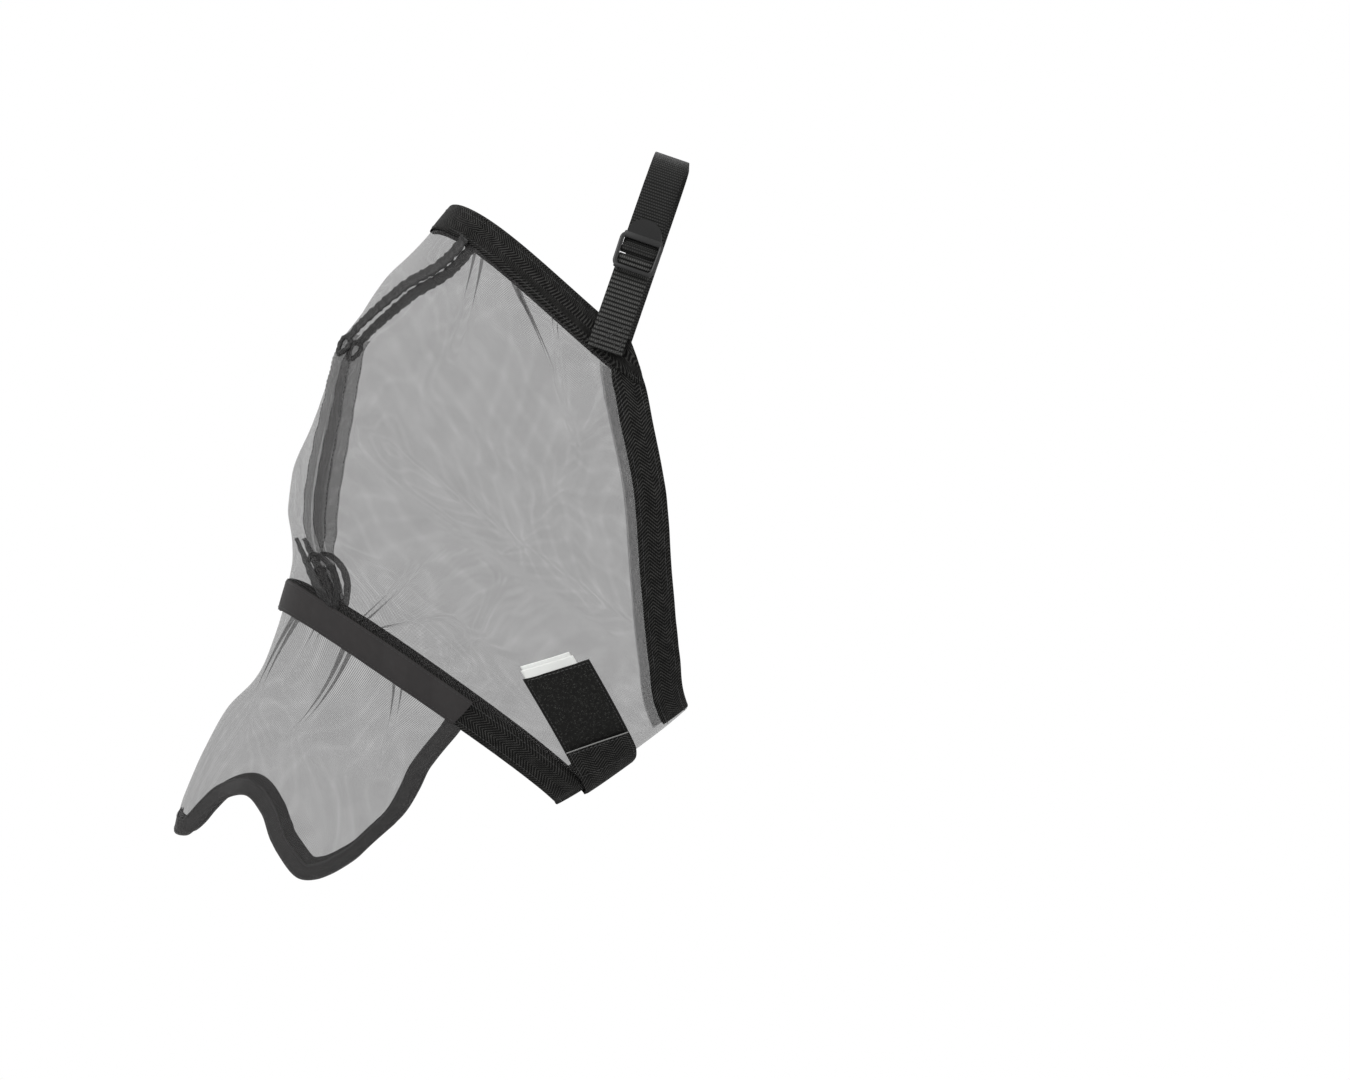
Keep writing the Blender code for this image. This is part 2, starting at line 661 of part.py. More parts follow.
def crown_tab(plane):
    """The near strap end: sewn at its foot, looped round the buckle's fixed bar and sewn back on itself."""
    reach = FIXED_BAR_AT - TAB_RISE
    centre = leg_layers()
    outer = BAR_RADIUS + GAP + WEB_THICK
    inner = BAR_RADIUS + GAP
    turn_out = [(reach + outer * math.sin(t), centre - outer * math.cos(t)) for t in np.linspace(0, math.pi, 11)]
    turn_in = [(reach + inner * math.sin(t), centre - inner * math.cos(t)) for t in np.linspace(0, math.pi, 11)]
    merge = reach - 0.012
    close = 2 * WEB_THICK
    hole = turn_in + [(reach - 0.0045, centre + 0.1 * inner), (merge + 0.004, WEB_THICK + 0.0002)]
    edge = turn_out + [(reach - 0.005, centre + 0.35 * outer), (merge, close), (0.0, close)]
    foot = LEG_FOOT[1] - TAB_RISE - TAB_FOOT
    sewn = [np.array([LEG_FOOT[0] - close, foot]), np.array([LEG_FOOT[0], foot])]
    points = leg_path([(0.0, 0.0)]) + leg_path(edge) + sewn
    made = outline("crown_tab", [tuple(p) for p in points], [[tuple(p) for p in leg_path(hole)]])
    place(as_mesh(made), plane, "webbing")


def bar(name, along, out, radius, length):
    bpy.ops.mesh.primitive_cylinder_add(vertices=16, radius=radius, depth=length)
    made = bpy.context.object
    made.name = name
    made.data.transform(Matrix.Translation((out, along, 0)))
    return made


def block(name, low, high, bevel):
    """A rounded block between two corners, given out from the strap, along it and across it."""
    bpy.ops.mesh.primitive_cube_add(size=1)
    made = bpy.context.object
    made.name = name
    size = Vector(high) - Vector(low)
    made.data.transform(Matrix.Translation((Vector(low) + Vector(high)) / 2) @ Matrix.Diagonal((*size, 1)))
    rounding = made.modifiers.new("rounding", "BEVEL")
    rounding.width = bevel
    rounding.segments = 2
    return made


def buckle(hinge):
    """One moulding: two rails, the rim, the fixed bar, the turn bar and the lock bar with its thumb lift."""
    fixed_out = leg_layers()
    inner = WEB_WIDTH / 2 + RAIL_CLEARANCE
    length = 2 * (inner + RAIL_WIDTH / 2)
    rim_along, turn_along, lock_along = (at - FIXED_BAR_AT for at in (RIM_AT, TURN_BAR_AT, LOCK_BAR_AT))
    lock_low = 2 * (WEB_THICK + GAP) - fixed_out
    rim_low = RIM_STAND - fixed_out
    top = lock_along + LOCK_BAR_HEIGHT / 2
    side = [
        (rim_low, rim_along - RIM_HEIGHT / 2), (rim_low + RIM_THICK, rim_along - RIM_HEIGHT / 2),
        (rim_low + RIM_THICK - 0.0004, rim_along + 0.006), (lock_low + LOCK_BAR_THICK + 0.0006, lock_along),
        (lock_low + LOCK_BAR_THICK, top), (lock_low + 0.0004, top), (lock_low - 0.0010, lock_along - 0.002),
        (-BAR_RADIUS - 0.0003, turn_along), (-BAR_RADIUS - 0.0003, -0.001), (rim_low - 0.0012, rim_along + 0.0022),
    ]
    rails = []
    for sign, name in ((-1, "rail_near"), (1, "rail_far")):
        rail = as_mesh(outline(name, side, depth=RAIL_WIDTH))
        rail.data.transform(Matrix.Translation((0, 0, sign * (inner + RAIL_WIDTH / 2))))
        rails.append(rail)
    rim = block("rim", (rim_low, rim_along - RIM_HEIGHT / 2 + 0.0001, -length / 2),
                (rim_low + RIM_THICK - 0.0001, rim_along + RIM_HEIGHT / 2, length / 2), 0.0006)
    lock = block("lock_bar", (lock_low, lock_along - LOCK_BAR_HEIGHT / 2, -length / 2),
                 (lock_low + LOCK_BAR_THICK, top - 0.0001, length / 2), 0.0006)
    half = WEB_WIDTH / 2
    lift = arc((0, 0), 1.0, 0, 180, 12)
    moon = [(half * x, THUMB_REACH * y - 0.0015) for x, y in lift]
    thumb = as_mesh(outline("thumb_lift", moon, depth=THUMB_THICK))
    turn = Matrix.Rotation(math.pi / 2, 4, "Y") @ Matrix.Rotation(0, 4, "X")
    lean = Matrix.Rotation(-THUMB_LIFT, 4, "Z")
    seat = Matrix.Translation((lock_low + LOCK_BAR_THICK / 2, top - 0.001, 0))
    thumb.data.transform(seat @ lean @ turn)
    bars = [bar("fixed_bar", 0, 0, BAR_RADIUS, length), bar("turn_bar", turn_along, 0, BAR_RADIUS, length)]
    body = rails[0]
    body.name = "buckle"
    for piece in [rails[1], rim, lock, thumb, *bars]:
        join = body.modifiers.new("join_" + piece.name, "BOOLEAN")
        join.operation = "UNION"
        join.object = piece
        for home in list(piece.users_collection):
            home.objects.unlink(piece)
        CUTTERS.objects.link(piece)
        piece.parent = hinge
        piece.hide_render = True
        piece.display_type = "WIRE"
    place(body, hinge, "plastic")


def strap_turn(hinge):
    """The stretch of the crown strap that goes up through the buckle and over its turn bar."""
    centre = (0.0, TURN_BAR_AT - FIXED_BAR_AT)
    inner = BAR_RADIUS + GAP
    ring = arc(centre, inner, 180, 450, 14) + arc(centre, inner + WEB_THICK, 450, 180, 14)
    place(as_mesh(outline("strap_turn", ring)), hinge, "webbing")


def strap_tail(hinge):
    """The free end, which leaves the buckle under the lock bar and lies on the strap."""
    fixed_out = leg_layers()
    low = WEB_THICK + GAP - fixed_out
    start = TURN_BAR_AT - FIXED_BAR_AT + BAR_RADIUS + WEB_THICK + 2 * GAP
    stop = LOCK_BAR_AT - FIXED_BAR_AT + LOCK_BAR_HEIGHT / 2 + THUMB_REACH + TAIL_REACH - 0.006
    clip = 0.004
    ring = [(low, start), (low + WEB_THICK, start), (low + WEB_THICK, stop - clip / 4), (low, stop)]
    place(as_mesh(outline("strap_tail", ring)), hinge, "webbing")


clear_scene()
PARTS = collection("fly_mask")
CUTTERS = collection("fly_mask_cutters")

strap_up = Vector((math.sin(STRAP_LEAN), 0, math.cos(STRAP_LEAN)))
strap_across = Vector((0, 1, 0))
strap_matrix = Matrix((strap_across, strap_up, strap_across.cross(strap_up))).transposed()
strap_plane = empty("strap_plane", Vector((0, 0, 0)), strap_matrix)

face_matrix = Matrix.Rotation(FACE_TILT, 3, "Y")
corner = -CROWN_DROP * strap_up
face_place = corner - face_matrix @ Vector((JUNCTION_DEPTH, 0, -JUNCTION_DOWN))
face_frame = empty("face", face_place, face_matrix)



def width_under(rise, across):
    """The head's half width behind a place on the strap, given up from the corner and across the strap."""
    spot = face_matrix.inverted() @ (corner + rise * strap_up + across * strap_across.cross(strap_up) - face_place)
    turn = solve(lambda turn: depth_at(-spot.z, turn) - spot.x, 0.2, 0.8)
    return abs(skin(-spot.z, turn)[1])


tape_stack = TAPE_BED + TAPE_THICK - GAP
sewn_rises = (-TAB_FOOT, 0.0, TAB_RISE)
sewn_widths = (-WEB_WIDTH / 2, 0.0, WEB_WIDTH / 2)
corner_out = max(width_under(rise, across) for rise in sewn_rises for across in sewn_widths) + tape_stack
LEG_FOOT = np.array([-corner_out, TAB_RISE - CROWN_DROP])
LEG_WAY = np.array([math.sin(LEG_LEAN), math.cos(LEG_LEAN)])
LEG_OUT = np.array([-math.cos(LEG_LEAN), math.sin(LEG_LEAN)])

forehead_panel(face_frame)
for side_name, side_sign in (("left", -1), ("right", 1)):
    cheek_panel(face_frame, side_name, side_sign)
    jaw_tape(face_frame, side_name, side_sign)
    eye_seam(face_frame, side_name, side_sign)
edge_tape(face_frame, "browband_tape", 0.0, 1.0)
edge_tape(face_frame, "noseband_tape", 3.0, 2.0)
flap_header(face_frame)

flap_axis = form_point(NOSE_MIDLINE_DOWN, 0.0)
nose_flap(face_frame, flap_axis)

closure_axis = closure_place(0.0, TAB_HINGE + HINGE_GAP / 2, CLOSURE_BED + TAB_THICK / 2)
closure(face_frame, closure_axis)

crown_strap(strap_plane)
crown_tab(strap_plane)
bar_place = LEG_FOOT + (FIXED_BAR_AT - TAB_RISE) * LEG_WAY + leg_layers() * LEG_OUT
bar_matrix = Matrix(((*LEG_OUT, 0), (*LEG_WAY, 0), (0, 0, -1))).transposed()
buckle_hinge = empty("buckle_hinge", Vector((*bar_place, 0)), bar_matrix, strap_plane)
buckle(buckle_hinge)
strap_turn(buckle_hinge)
strap_tail(buckle_hinge)
bpy.context.view_layer.update()
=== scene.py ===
import math

import bmesh
import bpy
import numpy as np
from mathutils import Matrix, Vector


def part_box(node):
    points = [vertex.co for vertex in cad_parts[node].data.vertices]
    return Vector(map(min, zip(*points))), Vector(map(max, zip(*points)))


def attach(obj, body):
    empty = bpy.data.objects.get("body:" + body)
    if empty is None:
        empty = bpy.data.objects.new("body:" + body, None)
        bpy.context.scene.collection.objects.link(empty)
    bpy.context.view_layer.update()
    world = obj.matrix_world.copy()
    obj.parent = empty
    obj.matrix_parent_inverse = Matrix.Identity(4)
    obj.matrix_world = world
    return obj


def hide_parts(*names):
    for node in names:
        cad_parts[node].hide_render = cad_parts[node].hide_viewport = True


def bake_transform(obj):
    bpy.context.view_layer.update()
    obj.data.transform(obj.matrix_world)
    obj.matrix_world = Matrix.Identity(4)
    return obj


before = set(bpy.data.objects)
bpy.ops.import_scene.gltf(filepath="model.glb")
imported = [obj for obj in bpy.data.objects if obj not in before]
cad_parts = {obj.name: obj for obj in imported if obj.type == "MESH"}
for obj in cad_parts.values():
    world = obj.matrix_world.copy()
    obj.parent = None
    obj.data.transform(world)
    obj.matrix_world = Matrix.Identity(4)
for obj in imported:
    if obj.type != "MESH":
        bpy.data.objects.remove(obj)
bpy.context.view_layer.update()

scene = bpy.context.scene
scene.view_settings.view_transform = "Standard"

headForm = {  # the tables give distance down the face, then the value there
    "strapLean": math.radians(19.0),
    "faceTilt": math.radians(35.0),
    "crownDrop": 0.136,
    "cornerDown": 0.005,
    "cornerDepth": 0.1475,
    "front": [
        (-0.020, 0.001), (0.0, -0.001), (0.030, -0.003), (0.060, -0.008), (0.110, -0.007),
        (0.150, 0.003), (0.200, 0.013), (0.232, 0.026), (0.262, 0.052), (0.293, 0.064),
        (0.346, 0.076), (0.372, 0.073), (0.404, 0.077), (0.437, 0.084), (0.470, 0.097),
    ],
    "jaw": [
        (-0.020, 0.330), (0.060, 0.345), (0.120, 0.352), (0.185, 0.341), (0.238, 0.325),
        (0.293, 0.303), (0.346, 0.262), (0.400, 0.236), (0.470, 0.222),
    ],
    "width": [
        (-0.020, 0.095), (0.015, 0.095), (0.080, 0.107), (0.130, 0.106), (0.190, 0.096),
        (0.240, 0.082), (0.293, 0.070), (0.346, 0.059), (0.410, 0.058), (0.470, 0.046),
    ],
    "square": [(-0.020, 2.6), (0.120, 2.6), (0.240, 2.4), (0.293, 2.3), (0.346, 2.2), (0.470, 2.3)],
    "taper": [(-0.020, 0.05), (0.060, 0.25), (0.190, 0.45), (0.293, 0.42), (0.346, 0.30), (0.470, 0.25)],
    "rear": [
        (-0.010, 0.150), (0.006, 0.175), (0.034, 0.204), (0.067, 0.238), (0.117, 0.279),
        (0.158, 0.314), (0.183, 0.338), (0.200, 0.400), (0.300, 0.600),
    ],
    "seamTurn": [
        (-0.020, 0.205), (0.007, 0.205), (0.115, 0.150), (0.200, 0.205), (0.241, 0.235), (0.300, 0.300),
    ],
    "seamLift": [
        (-0.020, 0.0), (0.010, 0.0), (0.060, 0.006), (0.115, 0.012), (0.170, 0.009), (0.230, 0.004),
        (0.280, 0.0),
    ],
    "seamBand": [
        (-0.020, 0.009), (0.100, 0.009), (0.128, 0.023), (0.225, 0.023), (0.250, 0.010), (0.300, 0.010),
    ],
    "seamSpread": 0.07,
    "taperPower": 1.5,
    "browMiddle": -0.008,
    "browCorner": -0.003,
    "browArch": 0.010,
    "browReach": 0.5,  # turn at which the brow's corner height is reached
    "noseMiddle": 0.293,
    "noseArch": 0.007,
    "rearFrom": 0.2,  # turn from which the rear edge is looked for
    "jawTurn": 0.985,
    "edgeSlant": 1.42,
    "tapeWidth": 0.021,
}
clothLook = {"tapeBed": 0.0006, "tapeThick": 0.0008}
tapeTop = clothLook["tapeBed"] + clothLook["tapeThick"]
sides = ((-1, "near", "left"), (1, "far", "right"))  # sign, word in piece names, word in node names


def unit(vectors):
    return vectors / np.maximum(np.linalg.norm(vectors, axis=-1, keepdims=True), 1e-12)


def lengthAlong(path):
    return np.concatenate([[0], np.cumsum(np.linalg.norm(np.diff(path, axis=0), axis=-1))])


def leftOf(path):  # square to a flat path
    ahead = unit(np.gradient(path, axis=0))
    return np.stack([-ahead[:, 1], ahead[:, 0]], axis=1)


def roundTurns(count):
    return np.linspace(0, 2 * math.pi, count, endpoint=False)


def eased(distance, rate):  # from 0 to 1 over 1 / rate
    return np.clip(distance * rate, 0, 1)


def swayed(at, across, wave):  # wave: rate, sway, rate of the sway
    rate, sway, swayRate = wave
    return np.sin(at * rate + sway * np.sin(across * swayRate))


def joinedSpans(*spans):  # start, stop and count of each, sharing their ends
    return np.concatenate([np.linspace(*span)[min(i, 1):] for i, span in enumerate(spans)])


def curveThrough(points):  # smooth, never overshoots between its points
    xs, ys = np.array(points, float).T
    steps = np.diff(ys) / np.diff(xs)
    product = 2 * steps[1:] * steps[:-1]
    inner = np.where(steps[1:] * steps[:-1] > 0, product / (steps[1:] + steps[:-1] + 1e-12), 0.0)
    slopes = np.concatenate([[steps[0]], inner, [steps[-1]]])

    def at(x):
        x = np.asarray(x, float)
        i = np.clip(np.searchsorted(xs, x) - 1, 0, len(steps) - 1)
        span = xs[i + 1] - xs[i]
        t = np.clip((x - xs[i]) / span, 0.0, 1.0)
        over = x - np.clip(x, xs[0], xs[-1])
        rise = (2 * t**3 - 3 * t**2 + 1) * ys[i] + (3 * t**2 - 2 * t**3) * ys[i + 1]
        bend = (t**3 - 2 * t**2 + t) * slopes[i] + (t**3 - t**2) * slopes[i + 1]
        return rise + span * bend + over * np.where(over < 0, slopes[0], slopes[-1])

    return at


frontLine, jawLine, halfWidth = (curveThrough(headForm[k]) for k in ("front", "jaw", "width"))
squareness, jawTaper, rearEdge = (curveThrough(headForm[k]) for k in ("square", "taper", "rear"))
seamTurnAt, seamLiftAt, seamBandAt = (
    curveThrough(headForm[k]) for k in ("seamTurn", "seamLift", "seamBand")
)


def formPoint(down, turn):  # turn 0 front, 1 under the jaw, minus on the near side
    down, turn = np.broadcast_arrays(np.asarray(down, float), np.asarray(turn, float))
    angle = math.pi * np.abs(turn)
    power = 2.0 / squareness(down)
    cosine = np.cos(angle)
    share = 0.5 - 0.5 * np.sign(cosine) * np.abs(cosine) ** power
    front = frontLine(down)
    narrowing = 1 - jawTaper(down) * np.maximum(share, 0) ** headForm["taperPower"]
    width = halfWidth(down) * np.abs(np.sin(angle)) ** power * narrowing
    return np.stack([front + share * (jawLine(down) - front), np.sign(turn) * width, -down], axis=-1)


def outward(pointAt, down, across, step=0.0015):
    along = pointAt(down + step, across) - pointAt(down - step, across)
    around = pointAt(down, across + step) - pointAt(down, across - step)
    return unit(np.cross(around, along))


def formSlopes(down, turn, step):  # how the form runs for each metre down and each turn
    byDown = (formPoint(down + step, turn) - formPoint(down - step, turn)) / (2 * step)
    byTurn = (formPoint(down, turn + step) - formPoint(down, turn - step)) / (2 * step)
    return byDown, byTurn


def skin(down, turn, height=0.0):  # the worn mesh stands off along the eye seams
    across = (np.abs(turn) - seamTurnAt(down)) / headForm["seamSpread"]
    lift = seamLiftAt(down) * np.exp(-across * across) + height
    return formPoint(down, turn) + outward(formPoint, down, turn) * np.asarray(lift)[..., None]


def turnStep(down, turn, distance, step=0.004):  # the turn that covers a distance round the form
    gap = np.linalg.norm(formPoint(down, turn + step) - formPoint(down, turn - step), axis=-1)
    return distance * (2 * step) / gap


def rowDown(row, turn):  # row 0-1 brow tape, 1-2 mesh, 2-3 nose tape
    row, turn = np.broadcast_arrays(np.asarray(row, float), np.asarray(turn, float))
    reach = np.minimum(np.abs(turn) / headForm["browReach"], 1.0)
    brow = headForm["browMiddle"] + (headForm["browCorner"] - headForm["browMiddle"]) * reach
    brow = brow - headForm["browArch"] * np.sin(math.pi * reach)
    nose = headForm["noseMiddle"] - headForm["noseArch"] * np.sin(math.pi * np.abs(turn))
    width = headForm["tapeWidth"]
    top, bottom = brow + width, nose - width
    middle = top + (row - 1) * (bottom - top)
    return np.where(row < 1, brow + row * width, np.where(row > 2, bottom + (row - 2) * width, middle))


def seamTurn(row):
    return seamTurnAt(rowDown(row, headForm["seamTurn"][0][1]))


def rearTurn(row):
    low, high = (np.full(np.shape(row), headForm[k]) for k in ("rearFrom", "jawTurn"))
    for _ in range(36):  # each time halves the gap
        middle = (low + high) / 2
        down = rowDown(row, middle)
        past = formPoint(down, middle)[..., 0] > rearEdge(down)
        low, high = np.where(past, low, middle), np.where(past, middle, high)
    return (low + high) / 2


def cheekTurn(row, column, step=0.002):  # column 0-1 seam band, 1-2 mesh, 2-3 jaw tape
    row, column = np.broadcast_arrays(np.asarray(row, float), np.asarray(column, float))
    seam, rear = seamTurn(row), rearTurn(row)
    seamDown, rearDown = rowDown(row, seam), rowDown(row, rear)
    band = turnStep(seamDown, seam, seamBandAt(seamDown) / 2)
    slope = (rearEdge(rearDown + step) - rearEdge(rearDown - step)) / (2 * step)
    slant = np.minimum(np.hypot(1, slope), headForm["edgeSlant"])
    slant = np.where(rear < headForm["jawTurn"] - 0.001, slant, 1.0)
    tape = turnStep(rearDown, rear - 0.02, headForm["tapeWidth"] * slant)
    body = seam + band + (column - 1) * (rear - tape - seam - band)
    return np.where(column < 1, seam + column * band, np.where(column > 2, rear + (column - 3) * tape, body))


faceMatrix = Matrix.Rotation(headForm["faceTilt"], 3, "Y")
strapUp = Vector((math.sin(headForm["strapLean"]), 0, math.cos(headForm["strapLean"])))
strapWide = Vector((0, 1, 0)).cross(strapUp)
browPlace = Vector((headForm["cornerDepth"], 0, -headForm["cornerDown"]))
facePlace = -headForm["crownDrop"] * strapUp - faceMatrix @ browPlace
faceTurn, faceShift = np.array(faceMatrix), np.array(facePlace)
jawRow = max(  # last row whose rear edge is short of the middle of the jaw
    float(row) for row in np.linspace(1.2, 2.0, 400)
    if rearTurn(np.array(row)) < headForm["jawTurn"] - 0.002
)


def faceToWorld(points):
    return points @ faceTurn.T + faceShift


def strapToWorld(points):  # across the head, up, then along the strap's width
    frameAxes = np.array([(0, 1, 0), tuple(strapUp), tuple(strapWide)])
    return np.asarray(points, float) @ frameAxes


# mesh makers

def putIn(name, data):
    made = bpy.data.objects.new(name, data)
    scene.collection.objects.link(made)
    return made


def fit(piece, slot, body, *nodes):  # body: a name, or a function that is run on the piece
    if nodes:
        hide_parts(*nodes)
    if callable(body):
        body(piece)
    else:
        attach(piece, body)
    return piece


def meshObject(name, verts, faces, uvs, material):
    mesh = bpy.data.meshes.new(name)
    mesh.from_pydata([tuple(v) for v in verts], [], faces)
    layer = mesh.uv_layers.new(name="cloth")
    index = np.empty(len(mesh.loops), np.int32)
    mesh.loops.foreach_get("vertex_index", index)
    layer.data.foreach_set("uv", np.asarray(uvs, np.float32)[index].ravel())
    mesh.materials.append(material)
    mesh.validate()
    mesh.shade_smooth()
    return putIn(name, mesh)


def fixNormals(obj):
    work = bmesh.new()
    work.from_mesh(obj.data)
    bmesh.ops.recalc_face_normals(work, faces=work.faces)
    work.to_mesh(obj.data)
    work.free()
    return obj


def resample(path, step):
    path = np.asarray(path, float)
    length = lengthAlong(path)
    count = max(2, int(length[-1] / step) + 1)
    at = np.linspace(0, length[-1], count)
    return np.stack([np.interp(at, length, path[:, i]) for i in range(path.shape[1])], axis=1), at


def gridFaces(rows, columns, wrap=False, flip=False):
    r = np.arange(rows - 1)[:, None] * columns
    c = np.arange(columns if wrap else columns - 1)[None, :]
    n = (c + 1) % columns
    quads = np.stack([r + c, r + n, r + columns + n, r + columns + c], -1).reshape(-1, 4)
    return [tuple(q[::-1]) if flip else tuple(q) for q in quads.tolist()]


def clothUv(points):  # lengths across from the middle column and down each column, in metres
    along = np.linalg.norm(np.diff(points, axis=0), axis=-1)
    across = np.linalg.norm(np.diff(points, axis=1), axis=-1)
    v = np.concatenate([np.zeros((1, points.shape[1])), np.cumsum(along, axis=0)])
    u = np.concatenate([np.zeros((points.shape[0], 1)), np.cumsum(across, axis=1)], axis=1)
    u = u - u[:, [points.shape[1] // 2]]
    return np.stack([u, v], -1).reshape(-1, 2)


def gridSheet(name, points, material, flip=False, smooth=None):  # smooth: the form that the weave follows
    rows, columns = points.shape[:2]
    uvs = clothUv(points if smooth is None else smooth)
    return meshObject(name, points.reshape(-1, 3), gridFaces(rows, columns, flip=flip), uvs, material)


def sweptTape(name, sections, material):  # sections: stations x closed ring x 3
    stations, ring = sections.shape[:2]
    faces = gridFaces(stations, ring, wrap=True)
    faces.append(tuple(range(ring))[::-1])
    faces.append(tuple(range((stations - 1) * ring, stations * ring)))
    length = lengthAlong(sections.mean(axis=1))
    around = np.linalg.norm(sections - np.roll(sections, 1, axis=1), axis=-1).mean(axis=0)
    girth = np.cumsum(around) - around[0]
    uvs = np.stack(np.broadcast_arrays(girth[None, :], length[:, None]), -1).reshape(-1, 2)
    return fixNormals(meshObject(name, sections.reshape(-1, 3), faces, uvs, material))


# finishes

def feed(tree, value, socket):  # a number is set, anything else is linked
    if isinstance(value, (int, float)):
        socket.default_value = value
    else:
        tree.links.new(value, socket)


def mathNode(tree, operation, *values):
    node = tree.nodes.new("ShaderNodeMath")
    node.operation = operation
    for socket, value in zip(node.inputs, values):
        feed(tree, value, socket)
    return node.outputs[0]


def sineNode(tree, value, factor):
    return mathNode(tree, "SINE", mathNode(tree, "MULTIPLY", value, factor))


def rangeNode(tree, *values):  # value, from low and high, to low and high
    node = tree.nodes.new("ShaderNodeMapRange")
    node.interpolation_type = "SMOOTHSTEP"
    for label, value in zip(("Value", "From Min", "From Max", "To Min", "To Max"), values):
        feed(tree, value, node.inputs[label])
    return node.outputs[0]


def noiseNode(tree, vector, scale, detail):
    node = tree.nodes.new("ShaderNodeTexNoise")
    node.inputs["Scale"].default_value = scale
    node.inputs["Detail"].default_value = detail
    tree.links.new(vector, node.inputs["Vector"])
    return node.outputs[0]


def newGroup(name, values, results):  # a weave that reads the cloth's own lengths
    tree = bpy.data.node_groups.new(name, "ShaderNodeTree")
    tree.interface.new_socket(name="Cloth", in_out="INPUT", socket_type="NodeSocketVector")
    for label, value in values.items():
        made = tree.interface.new_socket(name=label, in_out="INPUT", socket_type="NodeSocketFloat")
        made.default_value = value
    for label in results:
        tree.interface.new_socket(name=label, in_out="OUTPUT", socket_type="NodeSocketFloat")
    into, out = tree.nodes.new("NodeGroupInput"), tree.nodes.new("NodeGroupOutput")
    split = tree.nodes.new("ShaderNodeSeparateXYZ")
    tree.links.new(into.outputs["Cloth"], split.inputs[0])
    return tree, into.outputs, out.inputs, split.outputs


netLook = {  # core and skirt of a thread, drift in the cloth, then its surface
    "core": 0.6, "skirt": 1.4, "cloudScale": 38.0, "cloudDetail": 3.0, "roughness": 0.62, "specular": 0.35,
}
twillLook = {
    # the rib weight sets how strongly the rib height paints highlight on the ribs and shade in the grooves
    "rib": 0.5, "yarn": 0.2, "ribPaintedLight": 0.85, "dustMiddle": 0.40, "dustScale": 160.0, "dustDetail": 4.0,
}
beadLook = {
    # the power sharpens the painted highlight on the beads
    "bead": 0.65, "between": 0.35, "paintedLightPower": 1.5, "lintLift": 0.45, "lintScale": 420.0, "lintDetail": 3.0,
}


def netGroup():  # crossing threads
    values = {"Pitch": 0.0008, "Share": 0.3, "Haze": 0.1, "Fill": 0.25, "Weight": 0.35}
    tree, into, out, cloth = newGroup("netThreads", values, ["Cover"])
    half = mathNode(tree, "MULTIPLY", into["Share"], 0.5)
    inner, outer = (mathNode(tree, "MULTIPLY", half, netLook[k]) for k in ("core", "skirt"))
    threads = []
    for axis in (0, 1):
        cell = mathNode(tree, "FRACT", mathNode(tree, "DIVIDE", cloth[axis], into["Pitch"]))
        offset = mathNode(tree, "ABSOLUTE", mathNode(tree, "SUBTRACT", cell, 0.5))
        threads.append(rangeNode(tree, offset, inner, outer, 1.0, 0.0))
    net = mathNode(tree, "MAXIMUM", *threads)
    cloud = noiseNode(tree, into["Cloth"], netLook["cloudScale"], netLook["cloudDetail"])
    drift = mathNode(tree, "MULTIPLY", mathNode(tree, "SUBTRACT", cloud, 0.5), into["Haze"])
    woven = mathNode(tree, "ADD", mathNode(tree, "MULTIPLY", net, into["Weight"]), into["Fill"])
    clamp = tree.nodes.new("ShaderNodeClamp")
    tree.links.new(mathNode(tree, "ADD", woven, drift), clamp.inputs[0])
    tree.links.new(clamp.outputs[0], out["Cover"])
    return tree


def twillGroup():  # slanted ribs, turned over in bands for herringbone
    tree, into, out, cloth = newGroup("twillRibs", {"Pitch": 0.0011, "Band": 0.0105}, ["Height", "Shade"])
    fold = mathNode(tree, "PINGPONG", cloth[0], into["Band"])
    slant = mathNode(tree, "DIVIDE", mathNode(tree, "ADD", fold, cloth[1]), into["Pitch"])
    rib = mathNode(tree, "MULTIPLY", sineNode(tree, slant, 2 * math.pi), twillLook["rib"])
    level = mathNode(tree, "DIVIDE", cloth[0], into["Pitch"])
    yarn = mathNode(tree, "MULTIPLY", sineNode(tree, level, 4 * math.pi), twillLook["yarn"])
    height = mathNode(tree, "ADD", rib, yarn)
    dust = noiseNode(tree, into["Cloth"], twillLook["dustScale"], twillLook["dustDetail"])
    speckle = mathNode(tree, "SUBTRACT", dust, twillLook["dustMiddle"])
    tree.links.new(height, out["Height"])
    # painted light: the colour follows the rib height, a painted highlight on the ribs and painted shade in
    # the grooves; the dust noise adds random tone
    shade = mathNode(tree, "MULTIPLY", height, twillLook["ribPaintedLight"])
    tree.links.new(mathNode(tree, "ADD", shade, speckle), out["Shade"])
    return tree


def beadGroup():  # rows of yarn bumps across a webbing, every other row shifted
    values = {"Row": 0.0031, "Bead": 0.0014, "Shift": 0.5}
    tree, into, out, cloth = newGroup("webBeads", values, ["Height", "Shade"])
    rows = mathNode(tree, "DIVIDE", cloth[1], into["Row"])
    ridge = mathNode(tree, "ABSOLUTE", sineNode(tree, rows, math.pi))
    offset = mathNode(tree, "MULTIPLY", mathNode(tree, "FLOOR", rows), into["Shift"])
    beads = mathNode(tree, "ADD", mathNode(tree, "DIVIDE", cloth[0], into["Bead"]), offset)
    bump = mathNode(tree, "ABSOLUTE", sineNode(tree, beads, math.pi))
    bump = mathNode(tree, "ADD", mathNode(tree, "MULTIPLY", bump, beadLook["bead"]), beadLook["between"])
    height = mathNode(tree, "MULTIPLY", ridge, bump)
    lint = noiseNode(tree, into["Cloth"], beadLook["lintScale"], beadLook["lintDetail"])
    lint = mathNode(tree, "ADD", lint, beadLook["lintLift"])
    tree.links.new(height, out["Height"])
    # painted light: the colour follows the bead height, a painted highlight on the beads and painted shade
    # between them; the lint noise adds random tone
    shade = mathNode(tree, "POWER", height, beadLook["paintedLightPower"])
    tree.links.new(mathNode(tree, "MULTIPLY", shade, lint), out["Shade"])
    return tree


netThreads, twillRibs, webBeads = netGroup(), twillGroup(), beadGroup()


